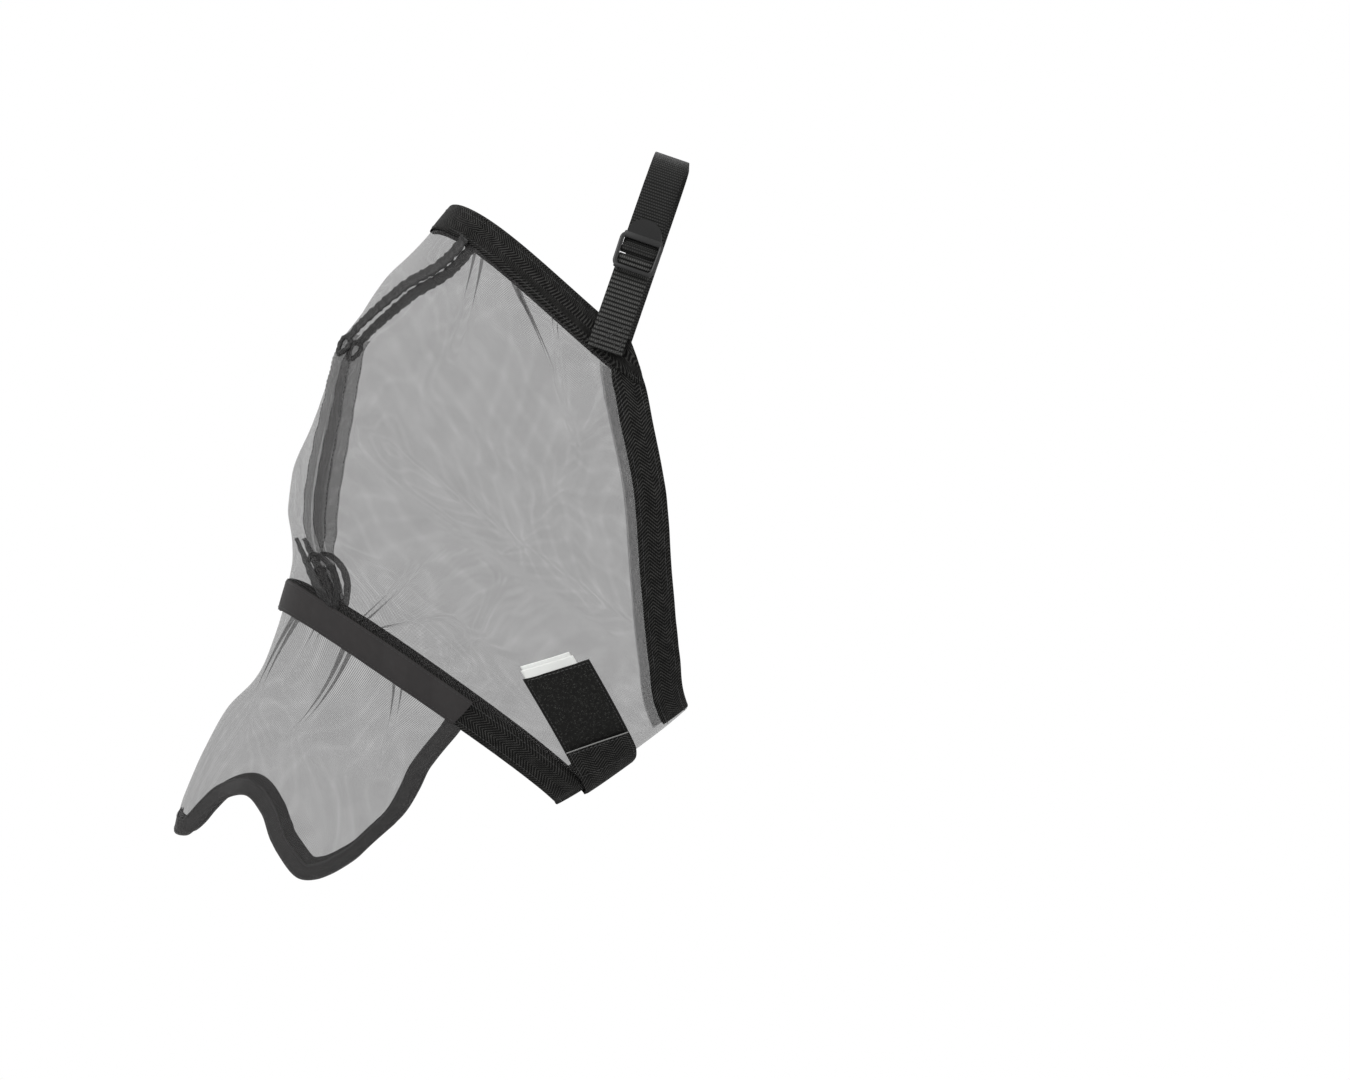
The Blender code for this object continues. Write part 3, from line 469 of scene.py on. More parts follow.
def newFinish(name, colour, roughness, sheen=0.0, specular=0.5):
    made = bpy.data.materials.new(name)
    made.use_nodes = True
    shader = made.node_tree.nodes["Principled BSDF"]
    shader.inputs["Base Color"].default_value = (*colour, 1.0)
    shader.inputs["Roughness"].default_value = roughness
    shader.inputs["Sheen Weight"].default_value = sheen
    shader.inputs["Specular IOR Level"].default_value = specular
    made.diffuse_color = (*colour, 1.0)
    return made, made.node_tree, shader


def wovenGroup(tree, group, values):
    node = tree.nodes.new("ShaderNodeGroup")
    node.node_tree = group
    for label, value in values.items():
        node.inputs[label].default_value = value
    spot = tree.nodes.new("ShaderNodeUVMap")
    spot.uv_map = "cloth"
    tree.links.new(spot.outputs[0], node.inputs["Cloth"])
    return node.outputs


def rampInto(tree, shader, value, stops):  # stops: place and colour
    ramp = tree.nodes.new("ShaderNodeValToRGB")
    for element, (place, colour) in zip(ramp.color_ramp.elements, stops):
        element.position = place
        element.color = (*colour, 1.0)
    tree.links.new(value, ramp.inputs[0])
    tree.links.new(ramp.outputs[0], shader.inputs["Base Color"])


def bumpInto(tree, shader, height, distance):
    bump = tree.nodes.new("ShaderNodeBump")
    bump.inputs["Strength"].default_value = 1.0
    bump.inputs["Distance"].default_value = distance
    tree.links.new(height, bump.inputs["Height"])
    tree.links.new(bump.outputs[0], shader.inputs["Normal"])


def netFinish(name, colour, share, pitch, haze, fill, weight):
    made, tree, shader = newFinish(name, colour, netLook["roughness"], 0.0, netLook["specular"])
    values = {"Pitch": pitch, "Share": share, "Haze": haze, "Fill": fill, "Weight": weight}
    tree.links.new(wovenGroup(tree, netThreads, values)["Cover"], shader.inputs["Alpha"])
    return made


def ribbedFinish(name, group, values, dark, light, depth, roughness, specular):
    made, tree, shader = newFinish(name, dark, roughness, 0.0, specular)
    weave = wovenGroup(tree, group, values)
    # the ramp runs from painted shade in the weave's grooves to painted highlight on its raised yarn
    rampInto(tree, shader, weave["Shade"], [(0.0, dark), (1.0, light)])
    bumpInto(tree, shader, weave["Height"], depth)
    return made


def grainyFinish(name, colour, roughness, sheen, specular, scale, detail):  # also gives its grain
    made, tree, shader = newFinish(name, colour, roughness, sheen, specular)
    spot = tree.nodes.new("ShaderNodeTexCoord")
    return made, tree, shader, noiseNode(tree, spot.outputs["Object"], scale, detail)


def tuftFinish(name):
    made, tree, shader, grain = grainyFinish(name, *grainyFinishes[name])
    rampInto(tree, shader, grain, tuftShades)
    return made


def plasticFinish(name):
    made, tree, shader, grain = grainyFinish(name, *grainyFinishes[name])
    bumpInto(tree, shader, grain, plasticDepth)
    return made


netFinishes = {  # colour, then the threads' share, pitch, haze, fill and weight
    "netBlack": ((0.020, 0.019, 0.019), 0.25, 0.00085, 0.10, 0.23, 0.42),
    "netDouble": ((0.018, 0.017, 0.017), 0.36, 0.00080, 0.10, 0.42, 0.34),
    "netFold": ((0.014, 0.0135, 0.0135), 0.45, 0.00078, 0.12, 0.52, 0.30),
    "netTuck": ((0.012, 0.0115, 0.0115), 0.50, 0.00075, 0.14, 0.64, 0.26),
    "hemBlack": ((0.026, 0.025, 0.025), 0.55, 0.00070, 0.06, 0.62, 0.30),
}
twillFinishes = {  # pitch and band of the ribs, dark (painted shade in the grooves), light (painted highlight on the ribs), then bump depth, roughness and specular
    "twillBlack": (0.0026, 0.0070, (0.0020, 0.0019, 0.0018), (0.068, 0.067, 0.064), 0.0005, 0.8, 0.10),
    "headerBlack": (0.0008, 0.021, (0.022, 0.020, 0.020), (0.040, 0.037, 0.037), 0.0001, 0.7, 0.25),
    "labelWhite": (0.0006, 0.0300, (0.72, 0.73, 0.71), (0.82, 0.83, 0.81), 0.00005, 0.6, 0.25),
}
webFinishes = {  # row and bead of the yarn, dark (painted shade between the beads), light (painted highlight on the beads), then bump depth, roughness and specular
    "webBlack": (0.0021, 0.0017, (0.0016, 0.0016, 0.0015), (0.034, 0.034, 0.033), 0.0004, 0.72, 0.14),
    "ribBlack": (0.0031, 0.0015, (0.0016, 0.0016, 0.0015), (0.080, 0.080, 0.077), 0.0005, 0.72, 0.14),
}
grainyFinishes = {  # colour, roughness, sheen, specular, then scale and detail of the grain
    "tuftBlack": ((0.016, 0.016, 0.015), 0.9, 0.06, 0.12, 520.0, 5.0),
    "mouldedBlack": ((0.010, 0.010, 0.010), 0.42, 0.0, 0.28, 900.0, 2.0),
}
tuftShades = [(0.46, (0.006, 0.006, 0.0056)), (0.66, (0.085, 0.086, 0.080))]  # grain and colour
plasticDepth = 0.00006
plainFinishes = {  # colour, roughness, sheen and specular
    "pileBlack": ((0.007, 0.007, 0.0066), 0.95, 0.0, 0.2),
    "threadBlack": ((0.018, 0.018, 0.018), 0.55),
    # a light grey that stands in for the highlight along the closing tab's end edge: painted highlight
    "edgeHighlightGrey": ((0.16, 0.16, 0.155), 0.5),
}
netBlack, netDouble, netFold, netTuck, hemBlack = (
    netFinish(name, *look) for name, look in netFinishes.items()
)
twillBlack, headerBlack, labelWhite = (
    ribbedFinish(name, twillRibs, {"Pitch": pitch, "Band": band}, *look)
    for name, (pitch, band, *look) in twillFinishes.items()
)
webBlack, ribBlack = (
    ribbedFinish(name, webBeads, {"Row": row, "Bead": bead}, *look)
    for name, (row, bead, *look) in webFinishes.items()
)
pileBlack, threadBlack, edgeHighlightGrey = (newFinish(name, *look)[0] for name, look in plainFinishes.items())
tuftBlack, mouldedBlack = tuftFinish("tuftBlack"), plasticFinish("mouldedBlack")
print("finishes ready")


# small shapes set along a line or over a patch, made by nodes

stitchLook = {"pitch": 0.0031, "length": 0.0024, "radius": 0.00028, "segments": 6, "rings": 4}
scatterNodes = {
    "into": "NodeGroupInput", "out": "NodeGroupOutput", "shape": "ShaderNodeCombineXYZ",
    "place": "GeometryNodeInstanceOnPoints", "real": "GeometryNodeRealizeInstances",
    "paint": "GeometryNodeSetMaterial",
}
scatterLinks = [
    ("into", "Radius", "shape", 0), ("into", "Radius", "shape", 1), ("shape", 0, "place", "Scale"),
    ("copy", "Mesh", "place", "Instance"), ("points", "Points", "place", "Points"),
    ("points", "Rotation", "place", "Rotation"), ("real", 0, "paint", "Geometry"), ("paint", 0, "out", 0),
]


def scatterTree(name, sockets, result, kinds, links, settings):
    tree = bpy.data.node_groups.new(name, "GeometryNodeTree")
    for label, kind, value in sockets:
        made = tree.interface.new_socket(name=label, in_out="INPUT", socket_type="NodeSocket" + kind)
        if value is not None:
            made.default_value = value
    tree.interface.new_socket(name=result, in_out="OUTPUT", socket_type="NodeSocketGeometry")
    nodes = {word: tree.nodes.new(kind) for word, kind in {**scatterNodes, **kinds}.items()}
    for word, label, value in settings:
        if isinstance(value, str):  # a word sets the node, a number one of its sockets
            setattr(nodes[word], label, value)
        else:
            nodes[word].inputs[label].default_value = value
    for source, output, target, socket in scatterLinks + links:
        tree.links.new(nodes[source].outputs[output], nodes[target].inputs[socket])
    return tree


stitchRow = scatterTree(
    "stitchRow",
    [("Line", "Geometry", None), ("Pitch", "Float", stitchLook["pitch"]),
     ("Length", "Float", stitchLook["length"]), ("Radius", "Float", stitchLook["radius"]),
     ("Thread", "Material", None)],
    "Stitches",
    {"toCurve": "GeometryNodeMeshToCurve", "points": "GeometryNodeCurveToPoints",
     "copy": "GeometryNodeMeshUVSphere", "half": "ShaderNodeMath"},
    [("into", "Line", "toCurve", 0), ("toCurve", 0, "points", "Curve"), ("into", "Pitch", "points", "Length"),
     ("into", "Length", "half", 0), ("half", 0, "shape", 2), ("place", 0, "real", 0),
     ("into", "Thread", "paint", "Material")],
    [("points", "mode", "LENGTH"), ("half", "operation", "MULTIPLY"), ("half", 1, 0.5),
     ("copy", "Segments", stitchLook["segments"]), ("copy", "Rings", stitchLook["rings"])],
)


def runTree(name, source, tree, values):  # one plain mesh from a node tree
    modifier = source.modifiers.new("nodes", "NODES")
    modifier.node_group = tree
    for item in tree.interface.items_tree:
        if item.item_type == "SOCKET" and item.in_out == "INPUT" and item.name in values:
            modifier[item.identifier] = values[item.name]
    bpy.context.view_layer.update()
    mesh = bpy.data.meshes.new_from_object(source.evaluated_get(bpy.context.evaluated_depsgraph_get()))
    bpy.data.objects.remove(source, do_unlink=True)
    mesh.name = name
    return putIn(name, mesh)


def stitchLines(name, lines, body, slot="tape", pitch=stitchLook["pitch"]):
    verts, edges = [], []
    for line in lines:
        start = len(verts)
        verts += [tuple(p) for p in line]
        edges += [(start + i, start + i + 1) for i in range(len(line) - 1)]
    mesh = bpy.data.meshes.new(name + "Line")
    mesh.from_pydata(verts, edges, [])
    values = {
        "Pitch": pitch, "Length": stitchLook["length"], "Radius": stitchLook["radius"], "Thread": threadBlack,
    }
    fit(runTree(name, putIn(name + "Line", mesh), stitchRow, values), slot, body)


# folds of the worn mesh, in metres down the face and back from the front

foldLook = {
    "cheek": [
        # down, depth, down, depth, width, height
        (0.020, 0.042, 0.110, 0.060, 0.007, 0.0022),
        (0.022, 0.075, 0.150, 0.125, 0.009, 0.0016),
        (0.020, 0.110, 0.120, 0.185, 0.008, -0.0013),
        (0.255, 0.085, 0.190, 0.140, 0.008, 0.0022),
        (0.262, 0.098, 0.225, 0.190, 0.007, 0.0016),
        (0.232, 0.228, 0.150, 0.160, 0.010, 0.0015),
        (0.198, 0.262, 0.105, 0.235, 0.009, 0.0014),
        (0.120, 0.050, 0.190, 0.100, 0.012, 0.0018),
    ],
    "forehead": [
        (0.020, -0.004, 0.100, -0.004, 0.012, 0.0016),
        (0.140, 0.004, 0.262, 0.070, 0.007, 0.0030),
        (0.215, 0.020, 0.268, 0.050, 0.006, -0.0022),
    ],
    "flap": [
        (0.300, 0.085, 0.400, 0.092, 0.009, 0.0026),
        (0.300, 0.120, 0.420, 0.165, 0.010, 0.0024),
        (0.300, 0.150, 0.425, 0.195, 0.008, -0.0020),
        (0.305, 0.190, 0.400, 0.205, 0.008, 0.0022),
        (0.330, 0.100, 0.405, 0.130, 0.007, -0.0016),
    ],
    "fade": (0.12, 0.76),  # shares of a half wave along a fold: start and span
    "driftHeight": 0.0005,
    "driftDown": (95, 1.7, 41),
    "driftDepth": (73, 1.3, 37),
    "puckerPitch": 0.021,
    "puckerSway": (2.0, 47),
    "puckerHeight": 0.0011,
    "puckerReach": 0.022,
}
pleatLook = {
    "cheek": [
        # down, depth, down, depth, overlap, softness, bow
        (0.004, 0.060, 0.095, 0.190, 0.0026, 0.0024, 0.004),
        (0.004, 0.034, 0.085, 0.064, 0.0022, 0.0024, 0.002),
        (0.006, 0.100, 0.060, 0.150, 0.0020, 0.0024, 0.0),
        (0.272, 0.112, 0.205, 0.126, 0.0026, 0.0024, -0.003),
        (0.272, 0.124, 0.226, 0.168, 0.0022, 0.0024, 0.002),
    ],
    "flap": [
        (0.284, 0.118, 0.400, 0.108, 0.0028, 0.0024, 0.010),
        (0.284, 0.076, 0.390, 0.096, 0.0026, 0.0024, -0.004),
        (0.284, 0.160, 0.350, 0.186, 0.0022, 0.0024, 0.003),
        (0.284, 0.094, 0.340, 0.100, 0.0018, 0.0024, 0.0),
    ],
    "lift": 0.0008,
    "reach": 0.013,
    "start": 14,  # how soon a pleat has its full depth
    "draw": 2.2,
    "ridge": 1.6,
    "lean": 0.8,
    "steepest": 0.35,
}


def foldHeight(points, folds):
    down, depth = -points[..., 2], points[..., 0]
    total = np.zeros(down.shape)
    start, span = foldLook["fade"]
    for d0, q0, d1, q1, width, height in folds:
        run = np.array([d1 - d0, q1 - q0])
        length = np.linalg.norm(run)
        t = np.clip(((down - d0) * run[0] + (depth - q0) * run[1]) / length**2, 0, 1)
        off = np.hypot(down - d0 - t * run[0], depth - q0 - t * run[1])
        fade = np.sin(math.pi * (start + span * t))
        total += height * fade * np.exp(-((off / width) ** 2))
    waves = swayed(down, depth, foldLook["driftDown"]) * swayed(depth, down, foldLook["driftDepth"])
    return total + foldLook["driftHeight"] * waves


# lays the mesh over itself along each line, thinning out towards its end
def pleatShift(points, normals, pleats):
    look = pleatLook
    down, depth = -points[..., 2], points[..., 0]
    moved = points.copy()
    for d0, q0, d1, q1, overlap, soft, bow in pleats:
        run = np.array([d1 - d0, q1 - q0])
        length = np.linalg.norm(run)
        run = run / length
        along = ((down - d0) * run[0] + (depth - q0) * run[1]) / length
        curve = 4 * bow * along * (1 - along) * ((along > -0.2) & (along < 1.2))
        across = (depth - q0) * run[0] - (down - d0) * run[1] - curve
        fade = np.clip(along * look["start"] + 1, 0, 1) * np.clip(1 - along, 0, 1)
        near = np.exp(-((across / look["reach"]) ** 2))
        slide = -look["draw"] * overlap * fade * np.tanh(across / soft) * near
        crest = np.exp(-((across / (look["ridge"] * soft)) ** 2))
        rise = look["lift"] * fade * crest * (1 + look["lean"] * np.tanh(2 * across / soft))
        dDepth, dDown = slide * run[0], -slide * run[1]
        flat = normals[..., 1]
        flat = np.where(np.abs(flat) < look["steepest"], np.copysign(look["steepest"], flat), flat)
        moved[..., 0] += dDepth
        moved[..., 2] -= dDown
        moved[..., 1] -= (normals[..., 0] * dDepth - normals[..., 2] * dDown) / flat
        moved += normals * rise[..., None]
    return moved


def pucker(length, distance):  # small gathers that die away from a sewn edge
    sway, rate = foldLook["puckerSway"]
    wave = np.sin(2 * math.pi * length / foldLook["puckerPitch"] + sway * np.sin(length * rate))
    return foldLook["puckerHeight"] * wave * np.exp(-distance / foldLook["puckerReach"])


# mesh panels

panelLook = {
    "rows": 250, "cheekColumns": 230, "foreheadColumns": 110, "tapeRows": 8, "rearColumns": 10,
    "top": 0.06, "bottom": 2.94, "rear": 2.94,  # how far the mesh runs in under the tapes
    "foreheadEase": 12, "rowEase": 25, "columnEase": 20, "pleatEase": 30,
    "pleatTop": 0.97, "pleatBottom": 2.03, "pleatRear": 2.02,
    "gatherStretch": 1.4, "gatherDepth": 0.22,
}
bodyRows = joinedSpans(
    (panelLook["top"], 1, panelLook["tapeRows"]), (1, 2, panelLook["rows"]),
    (2, panelLook["bottom"], panelLook["tapeRows"]),
)[:, None]


def foreheadPanel():
    row, rate = bodyRows, panelLook["foreheadEase"]
    turn = seamTurn(row) * np.linspace(-1, 1, panelLook["foreheadColumns"])[None, :]
    down = rowDown(row, turn)
    height = foldHeight(formPoint(down, turn), foldLook["forehead"])
    height = height * eased(row - 1, rate) * eased(2 - row, rate)
    made = gridSheet("foreheadMesh", faceToWorld(skin(down, turn, height)), netBlack, False, skin(down, turn))
    return fit(made, "mesh", "mask", "forehead_panel")


def cheekPanel(side, name, node):
    look, row = panelLook, bodyRows
    column = joinedSpans(
        (0, 1, look["tapeRows"]), (1, 2, look["cheekColumns"]), (2, look["rear"], look["rearColumns"])
    )[None, :]
    turn = cheekTurn(row, column)
    down = rowDown(row, turn)
    smooth = skin(down, side * turn)
    free = eased(row - 1, look["rowEase"]) * eased(2 - row, look["rowEase"])
    free = free * eased(2 - column, look["columnEase"]) * eased(column - 1, look["columnEase"])
    ease = look["pleatEase"]
    held = eased(row - look["pleatTop"], ease) * eased(look["pleatBottom"] - row, ease)
    held = held * eased(look["pleatRear"] - column, ease) * eased(column - 1, look["columnEase"])
    gathers = pucker(down * look["gatherStretch"], look["gatherDepth"] * np.clip(2 - column, 0, 1))
    height = (foldHeight(smooth, foldLook["cheek"]) + gathers) * free
    normals = outward(formPoint, down, side * turn)
    pleated = pleatShift(smooth, normals, pleatLook["cheek"])
    points = smooth + (pleated - smooth) * held[..., None] + normals * height[..., None]
    return fit(gridSheet(name, faceToWorld(points), netBlack, side < 0, smooth), "mesh", "mask", node)


foreheadMesh = foreheadPanel()
cheekMeshes = [cheekPanel(side, word + "CheekMesh", cad + "_cheek_panel") for side, word, cad in sides]
print("mesh panels ready")


# binding tapes, folded over the edges

tapeLook = {
    "stations": 200, "frontStations": 62, "rear": 2.985,
    "stitchStations": 160, "stitchFront": 60, "stitchRear": 2.97, "stitchAt": (0.86, 0.14),
    "stitchLift": 0.0001, "lip": 0.0012, "waver": 0.0004, "wave": (61, 2, 23), "insideWaver": 0.6,
}
jawLook = {
    "step": 0.0015, "startRow": 0.55, "startCount": 12, "wave": (44, 1.5, 17),
    "bedLift": 0.0003, "stitchLift": 0.0004,
    "mitre": 0.0150, "mitreLength": 0.038, "sink": 0.68, "sinkRamp": (2.2, 0.6), "ease": 0.0022, "lead": 6,
    "hemInside": 0.010, "hemColumns": 8, "hemLap": 0.0025, "hemDrop": 0.0009,
}


def foldRing(bed, thick, lip):  # share of the width in from the edge, height, reach past the edge
    out, thinned = bed + thick, 0.0002
    upper = [(s, out if s < 1 else out - thinned, 0.0) for s in (1.0, 0.9, 0.6, 0.3, 0.06)]
    curl = [(0.0, out * math.sin(a), lip * math.cos(a)) for a in np.linspace(math.pi / 2, -math.pi / 2, 7)]
    inside = [(1.0, -bed, 0.0), (0.5, -bed, 0.0), (0.03, -bed * 0.5, 0.0)]
    lower, back = ([(s, -height, 0.0) for s, height, _ in reversed(half)] for half in (upper, inside))
    return upper + curl + lower + inside + back


def bandTurns(row, rear, sideCount, frontCount):  # turns along a tape, from the near rear to the far rear
    sideTurn = cheekTurn(row, np.linspace(rear, 0.0, sideCount))
    front = seamTurn(row) * np.linspace(-1, 1, frontCount)[1:-1]
    return np.concatenate([-sideTurn, front, sideTurn[::-1]])


def edgeTape(name, edgeRow, innerRow, node):
    look, sections = tapeLook, []
    for inset, height, reach in foldRing(clothLook["tapeBed"], clothLook["tapeThick"], look["lip"]):
        row = edgeRow + (inset - reach / headForm["tapeWidth"]) * (innerRow - edgeRow)
        held = float(np.clip(row, 0.0, 3.0))
        turn = bandTurns(held, look["rear"], look["stations"], look["frontStations"])
        length = np.linspace(0, 1, len(turn))
        share = 1 if height > 0 else look["insideWaver"]
        waver = look["waver"] * swayed(length, length, look["wave"]) * share
        sections.append(skin(rowDown(row, turn), turn, height + waver))
    made = sweptTape(name, faceToWorld(np.stack(sections, axis=1)), twillBlack)
    fit(made, "tape", "mask", node)


def edgeStitch(name, edgeRow, innerRow):
    look, lines = tapeLook, []
    for inset in look["stitchAt"]:
        row = edgeRow + inset * (innerRow - edgeRow)
        turn = bandTurns(row, look["stitchRear"], look["stitchStations"], look["stitchFront"])
        lines.append(faceToWorld(skin(rowDown(row, turn), turn, tapeTop + look["stitchLift"])))
    stitchLines(name, lines, "mask")


def insetOnForm(down, turn, distance, steps=8):  # moves an edge line inward over the form, square to itself
    ahead = unit(np.gradient(formPoint(down, turn), axis=0))
    for _ in range(steps):
        byDown, byTurn = formSlopes(down, turn, 0.001)
        inward = unit(np.cross(ahead, unit(np.cross(byTurn, byDown))))
        inward *= -np.sign(np.sum(inward * byTurn, axis=1))[:, None]
        aim = inward * distance / steps
        dd, tt, dt = np.sum(byDown * byDown, 1), np.sum(byTurn * byTurn, 1), np.sum(byDown * byTurn, 1)
        da, ta = np.sum(byDown * aim, 1), np.sum(byTurn * aim, 1)
        det = dd * tt - dt * dt
        down, turn = down + (da * tt - ta * dt) / det, turn + (ta * dd - da * dt) / det
    return down, turn


def jawTape(side, name, node):
    look, width = jawLook, headForm["tapeWidth"]
    rows = 1 + (jawRow - 1) * np.linspace(0, 1, 3 * tapeLook["stations"])[1:]
    rows = np.concatenate([np.linspace(look["startRow"], 1, look["startCount"]), rows])
    edgeTurn = rearTurn(rows)
    edge, _ = resample(formPoint(rowDown(rows, edgeTurn), edgeTurn), look["step"])
    edgeDown = -edge[:, 2]
    edgeTurn = np.interp(edgeDown, rowDown(rows, edgeTurn), edgeTurn)
    along, station = np.linspace(0, 1, len(edgeDown)), np.arange(len(edgeDown))
    waver = tapeLook["waver"] * swayed(along, along, look["wave"])
    nearTop = np.clip(1 - station * look["step"] / look["mitreLength"], 0, 1)
    rate, delay = look["sinkRamp"]
    sunk = 1 - look["sink"] * np.clip(rate * nearTop - delay, 0, 1)

    def place(distance, height):  # the top runs up under the browband, cut on the slant
        share = distance / width
        drawn = look["ease"] * max(0.0, 1 - share) * nearTop[:, None] ** 3
        down, turn = insetOnForm(edgeDown, edgeTurn, distance + drawn)
        at = station - nearTop * max(0.0, share) * look["mitre"] / look["step"]
        over, lead = np.minimum(at, 0), look["lead"]
        down = np.interp(at, station, down) + over * (down[lead] - down[0]) / lead
        turn = np.interp(at, station, turn) + over * (turn[lead] - turn[0]) / lead
        return skin(down, side * np.minimum(turn, 0.999), height * sunk)

    ring = foldRing(clothLook["tapeBed"] + look["bedLift"], clothLook["tapeThick"], tapeLook["lip"])
    sections = [place(inset * width - reach, height + waver) for inset, height, reach in ring]
    made = sweptTape(name, faceToWorld(np.stack(sections, axis=1)), twillBlack)
    fit(made, "tape", "mask", node)
    height = tapeTop + look["stitchLift"]
    lines = [faceToWorld(place(inset * width, height)) for inset in tapeLook["stitchAt"]]
    stitchLines(name + "Stitch", lines, "mask")
    insets = width - look["hemLap"] + np.linspace(0.0, look["hemInside"], look["hemColumns"])
    inner = [faceToWorld(place(inset, -look["hemDrop"])) for inset in insets]
    fit(gridSheet(name + "Hem", np.stack(inner, axis=1), netBlack, side > 0), "mesh", "mask")


bands = (("brow", 0.0, 1.0), ("nose", 3.0, 2.0))  # row of the edge, then of the tape's inner side
for word, edgeRow, innerRow in bands:
    edgeTape(word + "Tape", edgeRow, innerRow, word + "band_tape")
for word, edgeRow, innerRow in bands:
    edgeStitch(word + "Stitch", edgeRow, innerRow)
for side, word, cad in sides:
    jawTape(side, word + "JawTape", cad + "_jaw_tape")
print("tapes ready")


# eye seams and darts

seamLook = {
    "browEnd": 0.118, "browLap": 0.018, "noseStart": 0.236, "noseLap": 0.016, "rows": 260, "columns": 25,
    "ridge": 0.0006, "bed": 0.0007, "waver": 0.0004, "stitchColumns": (1, 23), "stitchPitch": 0.0034,
}
dartLook = {
    "halfWide": 0.0044,
    "halfHigh": 0.0017,
    "gather": 0.0061,
    "stand": 0.0024,  # height of a roll's middle line
    "taper": (1.0, 1.1, 0.9),
    "step": 0.0008,
    "rollSides": 28,
    "pull": (1.1, 330),
    "crimps": [(0.09, 0.8, 1.2), (0.06, 1.37, 2.6)],  # depth, rate, lag round the roll
    "browEnd": 0.1080,
    "browRows": (0.9, 2.06, 400),
    "browRing": (0.1120, 0.0058, 0.0044, 0.00150),  # distance down, half length, half width, roll
    "ringStations": 73,
    "ringSides": 12,
    "ringLift": 0.0006,
    "ringCrimp": (0.16, 9, 2),
    "ringFlat": 1.35,
    "ringWeave": (0.0008, 0.0009),
    "noseStrips": [
        [(0.2735, 0.1040), (0.2590, 0.0771), (0.2483, 0.0590), (0.2420, 0.0480)],
        [(0.2735, 0.1010), (0.2589, 0.0946), (0.2509, 0.0893), (0.2434, 0.0784), (0.2416, 0.0699),
         (0.2450, 0.0640), (0.2500, 0.0650)],
        [(0.2735, 0.1010), (0.2600, 0.0870), (0.2489, 0.0730)],
    ],
    "stripHalf": [(0.0034, 0.0036, 0.0014), (0.0024, 0.0022, 0.0014), (0.0014, 0.0036, 0.0044)],
    "stripStep": 0.0010,
    "stripColumns": 9,
    "stripBed": 0.0004,
    "stripLayer": 0.0005,
    "stripBulge": 0.0008,
    "stripFloor": 0.0002,
    "stripFront": 0.0006,
    "stripThick": (0.0002, 0.0005),  # under the noseband, and what is added in the open
    "stripWaver": [(0.05, 700), (0.03, 1500)],
    "stripRipple": (0.0002, 700),
    "stripTuck": (0.2710, 0.005),  # where a strip goes under the noseband, and over what length
}


def seamRows(start, stop, count):  # rows of the eye seam, and how far down the face they lie
    rows = np.linspace(start, stop, count)
    return rows, rowDown(rows, headForm["seamTurn"][0][1])


def seamBand(side, name, node):
    look = seamLook
    rows, downs = seamRows(1.0, 2.0, look["rows"])
    shown = (downs >= look["browEnd"] - look["browLap"]) & (downs <= look["noseStart"] + look["noseLap"])
    rows = rows[shown][:, None]
    seam = seamTurn(rows)
    down = rowDown(rows, seam)
    band = turnStep(down, seam, seamBandAt(down) / 2)
    share = np.linspace(-1, 1, look["columns"])[None, :]
    turn = seam + band * share
    height = look["bed"] + look["ridge"] * (1 - share**2) + look["waver"] * np.sin(rows * 90 + share * 2)
    points = skin(rowDown(rows, turn), side * turn, height)
    fit(gridSheet(name, faceToWorld(points), netDouble, side < 0), "mesh", "mask", node)
    lines = [faceToWorld(points[:, i]) for i in look["stitchColumns"]]
    stitchLines(name + "Stitch", lines, "mask", "mesh", look["stitchPitch"])


def rolledTuck(name, node, rows, side):  # a flat roll of mesh along the seam
    seam = seamTurn(rows)
    down = rowDown(rows, seam)
    normals = outward(formPoint, down, side * seam)
    path, at = resample(skin(down, side * seam, dartLook["stand"]), dartLook["step"])
    spread, fine = np.linspace(0, 1, len(normals)), np.linspace(0, 1, len(path))
    normals = np.stack([np.interp(fine, spread, normals[:, k]) for k in range(3)], axis=1)
    ahead = unit(np.gradient(path, axis=0))
    beside = unit(np.cross(ahead, normals))
    up = np.cross(beside, ahead)
    size = np.interp(at / at[-1], [0.0, 0.5, 1.0], dartLook["taper"])
    pull, rate = dartLook["pull"]
    pulled = 2 * math.pi * at / dartLook["gather"] + pull * np.sin(at * rate)
    ring = []
    for angle in roundTurns(dartLook["rollSides"]):
        crimp = 1
        for (deep, rate, lag), turned in zip(dartLook["crimps"], (math.sin(angle), math.cos(angle))):
            crimp = crimp + deep * np.sin(rate * pulled + lag * turned)
        wide = dartLook["halfWide"] * size * crimp * math.cos(angle)
        high = dartLook["halfHigh"] * size * crimp * math.sin(angle)
        ring.append(path + beside * wide[:, None] + up * high[:, None])
    fit(sweptTape(name, faceToWorld(np.stack(ring, axis=1)), netTuck), "mesh", "mask", node)


